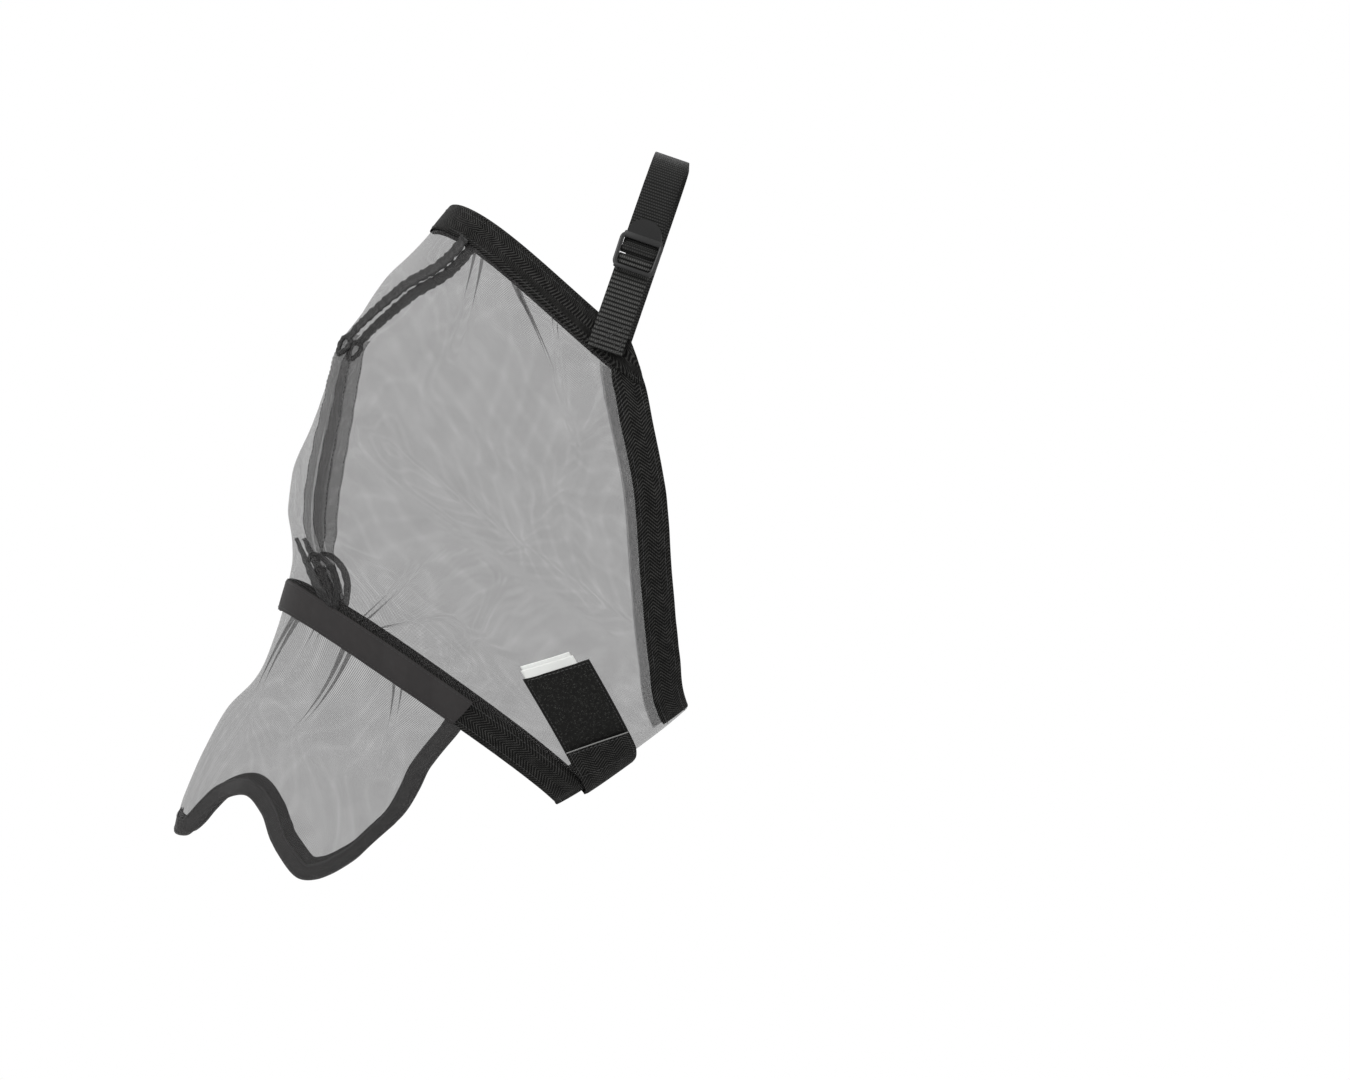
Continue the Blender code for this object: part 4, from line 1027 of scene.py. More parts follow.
def ovalRing(name, node, side):  # the curled end of a tuck
    centre, tall, wide, roll = dartLook["browRing"]
    turns = np.linspace(0, 2 * math.pi, dartLook["ringStations"])
    down = centre + tall * np.cos(turns)
    seam = seamTurnAt(down)
    turn = seam + turnStep(down, seam, wide * np.sin(turns))
    middle = skin(down, side * turn, dartLook["stand"] + dartLook["ringLift"] * np.sin(turns * 2))
    up = outward(formPoint, down, side * turn)
    ahead = np.gradient(middle, axis=0)
    ahead[0] = ahead[-1] = middle[1] - middle[-2]
    beside = np.cross(unit(ahead), up)
    (deep, rate, lag), flat, ring = dartLook["ringCrimp"], dartLook["ringFlat"], []
    for angle in roundTurns(dartLook["ringSides"]):
        crimp = (1 + deep * np.sin(rate * turns + lag * angle))[:, None]
        ring.append(middle + roll * crimp * (flat * math.cos(angle) * beside + math.sin(angle) * up))
    sections = faceToWorld(np.stack(ring, axis=1))[:-1]
    stations, count = sections.shape[:2]
    faces = gridFaces(stations, count, wrap=True)
    last = (stations - 1) * count
    faces += [(last + i, last + (i + 1) % count, (i + 1) % count, i) for i in range(count)]
    u, v = dartLook["ringWeave"]
    uvs = np.stack(np.broadcast_arrays(np.arange(count)[None, :] * u, np.arange(stations)[:, None] * v), -1)
    made = fixNormals(meshObject(name, sections.reshape(-1, 3), faces, uvs.reshape(-1, 2), netTuck))
    fit(made, "mesh", "mask", node)


def turnAt(down, depth):  # where the form lies at that depth
    front = frontLine(down)
    share = np.clip((depth - front) / (jawLine(down) - front), 1e-4, 0.9999)
    power = 2.0 / squareness(down)
    cosine = np.sign(1 - 2 * share) * np.abs(1 - 2 * share) ** (1 / power)
    return np.arccos(cosine) / math.pi


def curveLine(points):
    points = np.array(points)
    at = lengthAlong(points)
    fine = np.linspace(0, at[-1], 40)
    return np.stack([curveThrough(list(zip(at, points[:, k])))(fine) for k in (0, 1)], axis=1)


# folded mesh that comes from under the noseband
def tuckStrip(name, node, line, halves, side, bed, material):
    look = dartLook
    line, at = resample(curveLine(line), look["stripStep"])
    square = leftOf(line)
    share = np.linspace(-1, 1, look["stripColumns"])
    waver = 1
    for deep, rate in look["stripWaver"]:
        waver = waver + deep * np.sin(at * rate)
    half = np.interp(at / at[-1], [0, 0.5, 1], halves) * waver
    down = line[:, :1] + square[:, :1] * half[:, None] * share
    depth = line[:, 1:] + square[:, 1:] * half[:, None] * share
    turn = turnAt(down, np.maximum(depth, frontLine(down) + look["stripFront"]))
    tuckAt, tuckLength = look["stripTuck"]
    tucked = np.clip((tuckAt - down) / tuckLength, 0.0, 1.0)
    bulge = look["stripBulge"] * (1 - share**2)[None, :]
    ripple, rate = look["stripRipple"]
    height = look["stripFloor"] + tucked * (bed + bulge + ripple * np.sin(at * rate)[:, None])
    thin, more = look["stripThick"]
    layers = (thin + more * tucked, 0.0)
    over, under = (faceToWorld(skin(down, side * turn, height + extra)) for extra in layers)
    made = sweptTape(name, np.concatenate([over, under[:, ::-1]], axis=1), material)
    fit(made, "mesh", "mask", node)


def buildSeams():
    rows, downs = seamRows(*dartLook["browRows"])
    browRows = rows[downs <= dartLook["browEnd"]]
    strips = list(zip("ABC", dartLook["noseStrips"], dartLook["stripHalf"], (netFold, netFold, netDouble)))
    for side, word, cad in sides:
        seamBand(side, word + "EyeSeam", cad + "_eye_seam")
        rolledTuck(word + "BrowDart", cad + "_brow_dart", browRows, side)
        ovalRing(word + "BrowEnd", cad + "_brow_dart", side)
        for i, (letter, line, halves, material) in enumerate(strips):
            bed = dartLook["stripBed"] + dartLook["stripLayer"] * (2 - i)
            tuckStrip(word + "NoseFold" + letter, cad + "_nose_dart", line, halves, side, bed, material)


buildSeams()
print("eye seams ready")


# nose flap

flapLook = {
    "edge": [  # turn and distance down of the free edge, and where that mesh leaves the noseband
        (0.0, 0.458, 0.0), (0.12, 0.4620, 0.09), (0.190, 0.4595, 0.14), (0.237, 0.4505, 0.17),
        (0.268, 0.4385, 0.19), (0.305, 0.4230, 0.215), (0.37, 0.411, 0.245), (0.435, 0.4165, 0.28),
        (0.52, 0.432, 0.315), (0.60, 0.4375, 0.345), (0.66, 0.431, 0.365), (0.701, 0.4176, 0.38),
        (0.722, 0.3994, 0.395), (0.708, 0.3711, 0.415), (0.658, 0.3454, 0.435), (0.610, 0.3258, 0.450),
        (0.583, 0.3060, 0.460), (0.567, 0.2845, 0.470),
    ],
    "fold": 0.0035,
    "foldTurn": 0.257,
    "foldDrop": 0.15,
    "foldGrow": 8,
    "hem": 0.011,
    "hemSmoothing": 0.055,
    "hemFold": (0.0005, 0.0005, 0.0009),  # bed, thickness, lip
    "hemStitch": (1.10, 1.90),
    "hemStitchHeight": 0.0011,
    "clearance": 0.0024,
    "tuck": 0.004,
    "pleatEnd": (0.66, 0.2),
    "rows": 150,
    "hemRows": 10,
    "meshEnd": 1.97,  # row inside the hem
    "columns": 441,
    "weaveDown": 0.35,
    "weaveSteps": 300,
    "bendFrom": (0.16, 0.0, -0.296),
    "bendTo": (0.16, 0.0, -0.352),
}
headerLook = {
    "turn": 0.556, "rows": (2.04, 3.04, 14), "columns": 220, "lift": 0.0003, "bulge": 0.0007,
    "stitchRows": (2.12, 2.94), "stitchLift": 0.0008,
}
flapPlaces = np.linspace(0, 1, len(flapLook["edge"]))
flapTurnAt, flapDownAt, flapRootAt = (
    curveThrough(list(zip(flapPlaces, values))) for values in zip(*flapLook["edge"])
)


def flapTop(turn):  # where the flap comes out from under the noseband
    return rowDown(3.0, turn) + flapLook["clearance"] - flapLook["tuck"]


def flapLine(column):  # turn and down where a line of the mesh leaves the noseband and where it ends
    side = np.where(column < 0, -1.0, 1.0)
    root = flapRootAt(np.abs(column))
    start = np.stack([side * root, flapTop(root)], axis=-1)
    return start, np.stack([side * flapTurnAt(np.abs(column)), flapDownAt(np.abs(column))], axis=-1)


def flapBorder(column):  # the hem's border, square in from the free edge
    edge = flapLine(column)[1]
    shift = flapLook["hemSmoothing"]
    before, after = (flapLine(column + step)[1] for step in (-shift, shift))
    turn, down = edge[..., 0], edge[..., 1]
    along = formPoint(after[..., 1], after[..., 0]) - formPoint(before[..., 1], before[..., 0])
    inward = np.cross(along, outward(formPoint, down, turn))
    inward *= flapLook["hem"] / np.linalg.norm(inward, axis=-1)[..., None]
    below, sideways = formSlopes(down, turn, 0.002)
    solved = np.linalg.pinv(np.stack([sideways, below], axis=-1)) @ inward[..., None]
    border = edge + solved[..., 0]
    border[..., 1] = np.maximum(border[..., 1], flapTop(np.abs(border[..., 0])))
    return border


def flapPlace(row, column):
    row, column = np.broadcast_arrays(np.asarray(row, float), np.asarray(column, float))
    start, edge = flapLine(column)
    border = flapBorder(column)
    steep = row[..., None]
    place = np.where(steep <= 1, start + steep * (border - start), border + (steep - 1) * (edge - border))
    return place[..., 1], place[..., 0], row


def flapPoint(row, column, height=0.0):  # row 0 noseband, 1 hem border, 2 free edge
    down, turn, row = flapPlace(row, column)
    below = down - rowDown(3.0, np.abs(turn)) - flapLook["clearance"]
    drop = np.clip(below / flapLook["foldDrop"], 0.0, 1.0)
    ripple = flapLook["fold"] * drop * np.sin(math.pi * np.abs(turn) / flapLook["foldTurn"]) ** 2
    base = formPoint(down, turn)
    ripple = ripple + foldHeight(base, foldLook["flap"]) * np.clip(drop * flapLook["foldGrow"], 0, 1)
    points = skin(down, turn, height + ripple)
    pleatStart, pleatFade = flapLook["pleatEnd"]
    loose = 1 - np.clip((row - pleatStart) / pleatFade, 0, 1)
    pleated = pleatShift(points, outward(formPoint, down, turn), pleatLook["flap"])
    return points + (pleated - points) * loose[..., None]


def flapCloth(row, column):  # weave coordinates, level and upright on the muzzle
    down, turn, _ = flapPlace(row, column)
    turns = np.linspace(0, 1, flapLook["weaveSteps"])
    lengths = lengthAlong(formPoint(np.full(len(turns), flapLook["weaveDown"]), turns))[1:]
    across = np.sign(turn) * np.interp(np.abs(turn), turns[1:], lengths)
    return np.stack([across, down], axis=-1).reshape(-1, 2)


def flapBlend(piece):
    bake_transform(piece)


def noseFlap():
    look = flapLook
    columns = np.linspace(-1, 1, look["columns"])[None, :]
    rows = joinedSpans((0.0, 1.0, look["rows"]), (1, look["meshEnd"], look["hemRows"]))[:, None]
    points = faceToWorld(flapPoint(rows, columns)).reshape(-1, 3)
    faces = gridFaces(len(rows), columns.shape[1])
    made = meshObject("noseFlapMesh", points, faces, flapCloth(rows, columns), netBlack)
    fit(made, "mesh", flapBlend, "nose_flap")
    sections = []
    for inset, height, reach in foldRing(*look["hemFold"]):
        sections.append(flapPoint(2 - inset + reach / look["hem"], columns[0], height))
    hem = sweptTape("noseFlapHem", faceToWorld(np.stack(sections, axis=1)), hemBlack)
    fit(hem, "tape", flapBlend, "nose_flap_hem")
    lines = [faceToWorld(flapPoint(r, columns[0], look["hemStitchHeight"])) for r in look["hemStitch"]]
    stitchLines("flapHemStitch", lines, flapBlend)
    return made, hem


def flapHeader():
    look = headerLook
    row = np.linspace(*look["rows"])[:, None]
    turns = np.linspace(-look["turn"], look["turn"], look["columns"])[None, :]
    bulge = np.sin(np.linspace(0, math.pi, len(row)))[:, None] ** 0.5
    height = tapeTop + look["lift"] + look["bulge"] * bulge
    made = gridSheet("flapHeader", faceToWorld(skin(rowDown(row, turns), turns, height)), headerBlack)
    fit(made, "mesh", "mask", "nose_flap_header")
    turns, height = turns[0], tapeTop + look["stitchLift"]
    lines = [faceToWorld(skin(rowDown(r, turns), turns, height)) for r in look["stitchRows"]]
    stitchLines("headerStitch", lines, "mask", "mesh")


noseFlapMesh, noseFlapHem = noseFlap()
flapHeader()
print("nose flap ready")


# crown strap and buckle

strapLook = {
    "width": 0.025,
    "thick": 0.0015,
    "gap": 0.0003,
    "legLean": math.radians(8.0),
    "tabFoot": 0.008,
    "tabRise": 0.016,
    "rimAt": 0.0505,
    "fixedAt": 0.057,
    "turnAt": 0.0645,
    "lockAt": 0.074,
    "barRadius": 0.0015,
    "shoulder": 0.100,
    "flat": 0.030,
    "ribPitch": 0.0031,
    "ribHeight": 0.00034,
    "faceRipple": (0.00004, 900),
    "edge": 0.55,  # share of the thickness left at the selvedges
    "shares": (-0.97, -0.5, 0, 0.5, 0.97),  # places across a face
    "crownPull": 0.55,
    "crownBend": 41,
    "crownStep": 0.002,
    "plyGap": 0.0001,
    "tabOver": ((0.003, 0.0010), (0.0065, 0.0034), 0.011),  # the tab's end, back from the fixed bar
    "tabLoop": 15,
    "tabStep": 0.00032,
    "turnSweep": 1.15,  # half turns of the strap round the middle bar
    "turnSteps": 22,
    "turnLap": 0.0002,
    "tailEase": ((0.0002, 0.0012), (0.0012, 0.0006), 0.0030),
    "tailSteps": 14,
    "tailStart": 0.006,
    "tailReach": 0.0465,
    "tailCut": 0.006,
    "tailWave": (0.00035, 90),
    "tailBend": (0.004, 0.016),
    "boxHalf": 0.0095,  # box stitch at the tab's foot
    "boxLow": 0.0018,
    "boxHigh": 0.0205,
    "boxPitch": 0.0028,
    "boxStand": 0.0003,
}
legWay = np.array([math.sin(strapLook["legLean"]), math.cos(strapLook["legLean"])])
legOut = np.array([-math.cos(strapLook["legLean"]), math.sin(strapLook["legLean"])])
cornerOut = abs(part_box("crown_strap")[1][1]) - strapLook["thick"]
legFoot = np.array([-cornerOut, strapLook["tabRise"] - headForm["crownDrop"]])
tabEnd = legFoot[1] - strapLook["tabRise"] - strapLook["tabFoot"]
barOut = strapLook["thick"] + strapLook["gap"] + strapLook["barRadius"]
wrapRadius = strapLook["barRadius"] + strapLook["gap"] + strapLook["thick"] / 2  # webbing round a bar


def webStrip(name, path, material, ribs, step=0.0008):  # path is the middle line in the strap's plane
    line, at = resample(path, step)
    left = leftOf(line)
    half, thick, edge = strapLook["width"] / 2, strapLook["thick"] / 2, strapLook["edge"]
    height, rate = strapLook["faceRipple"]
    rib = height * np.sin(at * rate)
    if ribs:
        rib = strapLook["ribHeight"] * np.sin(2 * math.pi * at / strapLook["ribPitch"])
    corners = [(-1, edge), *((s, 1) for s in strapLook["shares"]), (1, edge)]
    corners += [(-share, -side) for share, side in corners]
    ring = []
    for share, side in corners:
        rise = side * thick + np.sign(side) * rib * (abs(side) == 1)
        flat = line + left * np.broadcast_to(rise, at.shape)[:, None]
        ring.append(np.column_stack([flat, np.full(len(at), share * half)]))
    return sweptTape(name, strapToWorld(np.stack(ring, axis=1)), material)


def legPoints(points):
    return [legFoot + a * legWay + n * legOut for a, n in points]


def crownPath():
    rise = strapLook["tabRise"]
    shoulder = legFoot + (strapLook["shoulder"] - rise) * legWay
    start = legFoot + (strapLook["turnAt"] - rise) * legWay
    flat = np.array([-strapLook["flat"] / 2, 0.0])
    pull = strapLook["crownPull"] * np.linalg.norm(flat - shoulder)
    handles = [shoulder, shoulder + pull * legWay, flat - np.array([pull, 0]), flat]
    bend = []
    for t in np.linspace(0, 1, strapLook["crownBend"])[1:]:
        bend.append(sum(math.comb(3, k) * t**k * (1 - t) ** (3 - k) * h for k, h in enumerate(handles)))
    near = [start, shoulder] + bend
    foot = np.array([legFoot[0], tabEnd])
    far = [np.array([-p[0], p[1]]) for p in reversed([foot, legFoot, shoulder] + bend)]
    return np.array(near + far)


def crownStrap():
    path, _ = resample(crownPath(), strapLook["crownStep"])
    made = webStrip("crownStrapWeb", path + strapLook["thick"] / 2 * leftOf(path), webBlack, False)
    fit(made, "webbing", "mask", "crown_strap")


def crownTab():
    thick, reach = strapLook["thick"], strapLook["fixedAt"] - strapLook["tabRise"]
    sweep = np.linspace(0, math.pi, strapLook["tabLoop"])
    loop = [(reach + wrapRadius * math.sin(t), barOut - wrapRadius * math.cos(t)) for t in sweep]
    outer = 1.5 * thick + strapLook["plyGap"]
    (first, dip), (second, stand), last = strapLook["tabOver"]
    over = [(reach - first, barOut + wrapRadius - dip), (reach - second, stand)]
    over += [(reach - last, outer), (0.0, outer)]
    back = [np.array([legFoot[0] - thick / 2, along]) for along in (tabEnd, legFoot[1])]
    front = [np.array([legFoot[0] - 1.5 * thick - strapLook["plyGap"], tabEnd])]
    path = back + legPoints(loop) + legPoints(over) + front
    made = webStrip("crownTabWeb", path[::-1], ribBlack, True, strapLook["tabStep"])
    fit(made, "webbing", "mask", "crown_tab")
    face = legFoot[0] - 2 * thick - strapLook["boxStand"]
    half, low, high = (strapLook[k] for k in ("boxHalf", "boxLow", "boxHigh"))
    box = [(-half, low), (half, low), (half, high), (-half, high), (-half, low)]
    cross = [[(-half, low), (half, high)], [(half, low), (-half, high)]]
    lines = [strapToWorld([(face, tabEnd + up, side) for side, up in shape]) for shape in [box, *cross]]
    stitchLines("crownTabStitch", lines, "mask", "webbing", strapLook["boxPitch"])


def hingeToWorld(points):  # out from the strap, along it, across it, from the fixed bar
    base = legFoot + (strapLook["fixedAt"] - strapLook["tabRise"]) * legWay + barOut * legOut
    points = np.asarray(points, float)
    flat = base + points[:, :1] * legOut + points[:, 1:2] * legWay
    return strapToWorld(np.column_stack([flat, points[:, 2]]))


def strapTurnAndTail():
    thick, gap, rise = (strapLook[k] for k in ("thick", "gap", "tabRise"))
    centre = strapLook["turnAt"] - rise
    sweep = np.linspace(0, math.pi * strapLook["turnSweep"], strapLook["turnSteps"])
    turn = [(centre - wrapRadius * math.sin(t), barOut - wrapRadius * math.cos(t)) for t in sweep]
    out, top = 1.5 * thick + gap, centre + wrapRadius
    (first, offBar), (second, offTail), last = strapLook["tailEase"]
    ease = [(top + first, barOut + offBar), (top + second, out + offTail), (top + last, out)]
    stop = strapLook["lockAt"] - rise + strapLook["tailReach"] - strapLook["tailCut"]
    height, rate = strapLook["tailWave"]
    tailAt = np.linspace(top + strapLook["tailStart"], stop, strapLook["tailSteps"])
    tail = [(a, out + height * math.sin((a - centre) * rate) ** 2) for a in tailAt]
    path = legPoints([(centre + strapLook["turnLap"], thick / 2)] + turn + ease + tail)

    def tailBlend(piece):
        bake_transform(piece)

    fit(webStrip("strapTailWeb", path, webBlack, False), "webbing", tailBlend, "strap_turn", "strap_tail")


def roundedBox(low, high, bevel, work):
    size = Vector(high) - Vector(low)
    place = Matrix.Translation((Vector(low) + Vector(high)) / 2) @ Matrix.Diagonal((*size, 1))
    made = bmesh.ops.create_cube(work, size=1, matrix=place)
    edges = list(dict.fromkeys(e for v in made["verts"] for e in v.link_edges))
    bmesh.ops.bevel(work, geom=edges, offset=bevel, segments=3, affect="EDGES", profile=0.5)


buckleLook = {
    "corner": 0.0040, "cornerSteps": 9, "rail": 0.0031, "clear": 0.0002, "ringSides": 16, "rounding": 0.6,
    "narrowing": 0.0004, "overLock": 0.0006, "barSides": 20, "barOver": 0.002, "sharp": math.radians(40),
    "rimHigh": 0.0032, "rimStand": 0.0070, "rimThick": 0.0024, "rimBevel": 0.0009,
    "lockHigh": 0.005, "lockThick": 0.003, "lockBevel": 0.0010, "lap": 0.001,
    "postHalf": (0.0016, 0.0015, 0.0012), "postIn": 0.0014, "postBevel": 0.0005,
    "thumb": 0.014, "thumbThick": 0.0022, "thumbLift": math.radians(16), "thumbSink": 0.0015,
    "thumbBevel": 0.0007, "thumbLap": 0.001, "thumbCurve": 0.8, "thumbSteps": 25,
}


def buckleBody():
    look = buckleLook
    inner = strapLook["width"] / 2 + look["clear"]
    outer = inner + look["rail"]
    rimAt, turnAt, lockAt = (strapLook[k] - strapLook["fixedAt"] for k in ("rimAt", "turnAt", "lockAt"))
    rimLow = look["rimStand"] - barOut
    lockLow = 2 * (strapLook["thick"] + strapLook["gap"]) - barOut
    rimMiddle, lockMiddle = look["rimThick"] / 2, lockLow + look["lockThick"] / 2
    top = lockAt + look["lockHigh"] / 2
    work = bmesh.new()
    low, high, radius = rimAt, lockAt + look["overLock"], look["corner"]
    halfHigh = outer - look["rail"] / 2
    halfLow = halfHigh - look["narrowing"]
    corners = [(halfLow, low), (halfHigh, high), (-halfHigh, high), (-halfLow, low)]
    centre = []  # middle line of the outer frame
    for (x, y), start in zip(corners, [-math.pi / 2, 0.0, math.pi / 2, math.pi]):
        cx, cy = x - math.copysign(radius, x), y + (radius if y == low else -radius)
        for t in np.linspace(0, math.pi / 2, look["cornerSteps"]):
            centre.append((cx + radius * math.cos(start + t), cy + radius * math.sin(start + t)))
    rings = []
    for i, (x, y) in enumerate(centre):
        share = np.clip((y - low) / (high - low), 0, 1)
        rise = rimLow + rimMiddle + (lockMiddle - rimLow - rimMiddle) * share
        ahead = Vector(centre[(i + 1) % len(centre)]) - Vector(centre[i - 1])
        ahead.normalize()
        square = Vector((ahead.y, -ahead.x))
        ring = []
        for t in roundTurns(look["ringSides"]):
            cosine, sine = (math.copysign(abs(v) ** look["rounding"], v) for v in (math.cos(t), math.sin(t)))
            wide, deep = look["rail"] / 2 * cosine, look["rimThick"] / 2 * sine
            ring.append(work.verts.new((rise + deep, y + square.y * wide, x + square.x * wide)))
        rings.append(ring)
    for ring, after in zip(rings, rings[1:] + rings[:1]):
        for i in range(len(ring)):
            n = (i + 1) % len(ring)
            work.faces.new((ring[i], ring[n], after[n], after[i]))
    wide = inner + look["lap"]
    for base, at, tall, thick, bevel in (
        (rimLow, rimAt, look["rimHigh"] / 2, look["rimThick"], look["rimBevel"]),
        (lockLow, lockAt, look["lockHigh"] / 2, look["lockThick"], look["lockBevel"]),
    ):
        roundedBox((base, at - tall, -wide), (base + thick, at + tall, wide), bevel, work)
    bar = strapLook["barRadius"]
    under, along, across = look["postHalf"]
    for at in (0.0, turnAt):
        bmesh.ops.create_cone(
            work, cap_ends=True, segments=look["barSides"], radius1=bar, radius2=bar,
            depth=2 * inner + look["barOver"], matrix=Matrix.Translation((0, at, 0)),
        )
        level = rimLow + (lockLow - rimLow) * (at - low) / (high - low) + rimMiddle
        for sign in (-1, 1):  # posts that carry the bars from the frame
            post = sign * (inner + look["postIn"])
            lowCorner, highCorner = (-under, at - along, post - across), (level, at + along, post + across)
            roundedBox(lowCorner, highCorner, look["postBevel"], work)
    half, lift = strapLook["width"] / 2, look["thumbLift"]
    sweep, curve = np.linspace(0, math.pi, look["thumbSteps"]), look["thumbCurve"]
    moon = [(half * math.cos(t), look["thumb"] * math.sin(t) ** curve) for t in sweep]
    seat = Matrix.Translation((lockMiddle, top - look["thumbLap"], 0))
    seat = seat @ Matrix.Rotation(-lift, 4, "Z") @ Matrix.Rotation(math.pi / 2, 4, "Y")
    lower, upper = (
        [work.verts.new(seat @ Vector((x, y - look["thumbSink"], z))) for x, y in moon]
        for z in (-look["thumbThick"] / 2, look["thumbThick"] / 2)
    )
    for i in range(len(moon)):
        n = (i + 1) % len(moon)
        work.faces.new((lower[i], lower[n], upper[n], upper[i]))
    caps = [work.faces.new(lower[::-1]), work.faces.new(upper)]
    rimEdges = list(dict.fromkeys(e for f in caps for e in f.edges))
    bmesh.ops.bevel(work, geom=rimEdges, offset=look["thumbBevel"], segments=3, affect="EDGES", profile=0.5)
    bmesh.ops.recalc_face_normals(work, faces=work.faces)
    mesh = bpy.data.meshes.new("buckleFrame")
    work.to_mesh(mesh)
    work.free()
    points = np.array([v.co[:] for v in mesh.vertices])
    mesh.vertices.foreach_set("co", hingeToWorld(points).ravel())
    mesh.materials.append(mouldedBlack)
    mesh.shade_smooth()
    mesh.set_sharp_from_angle(angle=look["sharp"])
    fit(fixNormals(putIn("buckleFrame", mesh)), "plastic", "buckle_body", "buckle")


crownStrap()
crownTab()
strapTurnAndTail()
buckleBody()
print("crown strap and buckle ready")


# under-jaw closure

closureLook = {  # where the pieces lie under the jaw, how thick they are, then how they are drawn
    "down": 0.256, "width": 0.041, "slant": math.radians(21.0), "ease": 0.030, "bed": 0.0012, "gap": 0.0003,
    "tabReach": 0.047, "tabHinge": -0.006, "tabBase": 0.034, "tabThick": 0.0010, "tabFoot": 0.0021,
    "tabBend": 0.010, "bendSpan": (-0.008, 0.009), "rampEnds": (-0.060, 0.080), "rampRise": 0.012,
    "loopStart": 0.018, "loopEnd": 0.118, "loopThick": 0.0018, "backing": 0.7,
    "hookLength": 0.026, "hookThick": 0.0012, "hookShort": 0.001,
    "softEdge": 0.0012, "edgeShare": (0.55, 0.45), "ripple": (170, 60, 110),
    "stitchInset": (0.0018, 0.0022, 0.003), "stitchLift": 0.0001, "lineSteps": 24,
    "jawTurns": (0.0, 0.65, 80), "jawCrowd": 1.6, "slopeStep": 0.003,
    "loopSteps": (60, 30), "tabSteps": (90, 24),
}
pileLook = {
    "density": 2.4e6, "reach": 0.0015, "radius": 0.00026, "seed": 5,
    "corners": 4, "tip": 0.4, "lean": 0.7, "spin": 6.28, "inset": 0.002, "grid": (30, 16),
}
# a light grey cord along the closing tab's end: a painted highlight on that edge
edgeHighlightLook = {"radius": 0.00045, "sides": 8, "short": 0.0005, "out": 0.0002, "height": 0.8, "steps": 60}
labelLook = {
    "width": 0.030, "height": 0.011, "offset": 0.003, "tuck": 0.004, "thick": 0.0004, "waver": 0.0003,
    "steps": (20, 30), "foldShort": 0.0035, "foldWider": 0.001, "foldLift": 0.0001,
}
tabBed = closureLook["bed"] + closureLook["loopThick"] + closureLook["hookThick"] + 2 * closureLook["gap"]
patchSpan = (-closureLook["width"] / 2, closureLook["width"] / 2)


def jawPoint(down, around):  # plus round to the near side, minus to the far side
    down, around = np.broadcast_arrays(np.asarray(down, float), np.asarray(around, float))
    flatDown, flatAround = down.ravel(), around.ravel()
    turns = np.linspace(*closureLook["jawTurns"]) ** closureLook["jawCrowd"]
    points = formPoint(flatDown[:, None], -(1 - turns)[None, :])
    steps = np.linalg.norm(np.diff(points, axis=1), axis=-1)
    lengths = np.concatenate([np.zeros((len(flatDown), 1)), np.cumsum(steps, axis=1)], axis=1)
    out = np.empty((len(flatDown), 3))
    for i in range(len(flatDown)):
        for k in range(3):
            out[i, k] = np.interp(abs(flatAround[i]), lengths[i], points[i, :, k])
    out[:, 1] *= np.where(flatAround > 0, 1, -1)
    return out.reshape(down.shape + (3,))


def closurePlace(across, around, height):
    look = closureLook
    near = np.maximum(around, 0.0)
    ease = np.minimum(near / look["ease"], 1.0)
    down = look["down"] + across * math.cos(look["slant"]) - near * math.sin(look["slant"])
    reach = around * math.cos(look["slant"]) + ease * across * math.sin(look["slant"])
    flat = jawPoint(down, reach)
    away = outward(jawPoint, down, reach, look["slopeStep"])
    return faceToWorld(flat + away * np.asarray(height)[..., None])


def laidSlab(name, start, stop, low, thick, material, span=patchSpan, steps=(40, 24), waver=0.0):
    around = np.linspace(start, stop, steps[0])[:, None]
    across = np.linspace(span[0], span[1], steps[1])[None, :]
    sideways = np.minimum(across - span[0], span[1] - across)
    edge = np.minimum(sideways, np.minimum(around - start, stop - around))
    soft = np.clip(edge / closureLook["softEdge"], 0, 1) ** 0.5
    thin, more = closureLook["edgeShare"]
    lengthwise, slanted, crosswise = closureLook["ripple"]
    ripple = waver * np.sin(around * lengthwise + across * slanted) * np.sin(across * crosswise)
    bed = np.broadcast_to(low(around) if callable(low) else low, soft.shape)
    top = closurePlace(across, around, bed + thick * (thin + more * soft) + ripple)
    under = closurePlace(across, around, bed + ripple)
    rows, columns = top.shape[:2]
    count = rows * columns
    verts = np.concatenate([top.reshape(-1, 3), under.reshape(-1, 3)])
    faces = gridFaces(rows, columns)
    faces += [tuple(i + count for i in f) for f in gridFaces(rows, columns, flip=True)]
    loop = list(range(columns)) + [r * columns + columns - 1 for r in range(1, rows)]
    loop += [(rows - 1) * columns + c for c in range(columns - 2, -1, -1)]
    loop += [r * columns for r in range(rows - 2, 0, -1)]
    faces += [(a, b, b + count, a + count) for a, b in zip(loop, loop[1:] + loop[:1])]
    uv = np.stack(np.broadcast_arrays(across, around), -1).reshape(-1, 2)
    return fixNormals(meshObject(name, verts, faces, np.concatenate([uv, uv]), material))


def cordMesh(name, line, radius, material):
    ahead = unit(np.gradient(line, axis=0))
    side = unit(np.cross(ahead, np.array([0.0, 0.0, 1.0])))
    up = np.cross(side, ahead)
    turns = roundTurns(edgeHighlightLook["sides"])
    ring = [line + radius * (math.cos(a) * side + math.sin(a) * up) for a in turns]
    return sweptTape(name, np.stack(ring, axis=1), material)


def rectLine(start, stop, inset, height):
    a0, a1, b0, b1 = patchSpan[0] + inset, patchSpan[1] - inset, start + inset, stop - inset
    corners = [(a0, b0), (a1, b0), (a1, b1), (a0, b1), (a0, b0)]
    points = []
    for (xa, ya), (xb, yb) in zip(corners, corners[1:]):
        for t in np.linspace(0, 1, closureLook["lineSteps"], endpoint=False):
            points.append((xa + t * (xb - xa), ya + t * (yb - ya)))
    points = np.array(points + corners[-1:])
    return closurePlace(points[:, 0], points[:, 1], np.full(len(points), height))


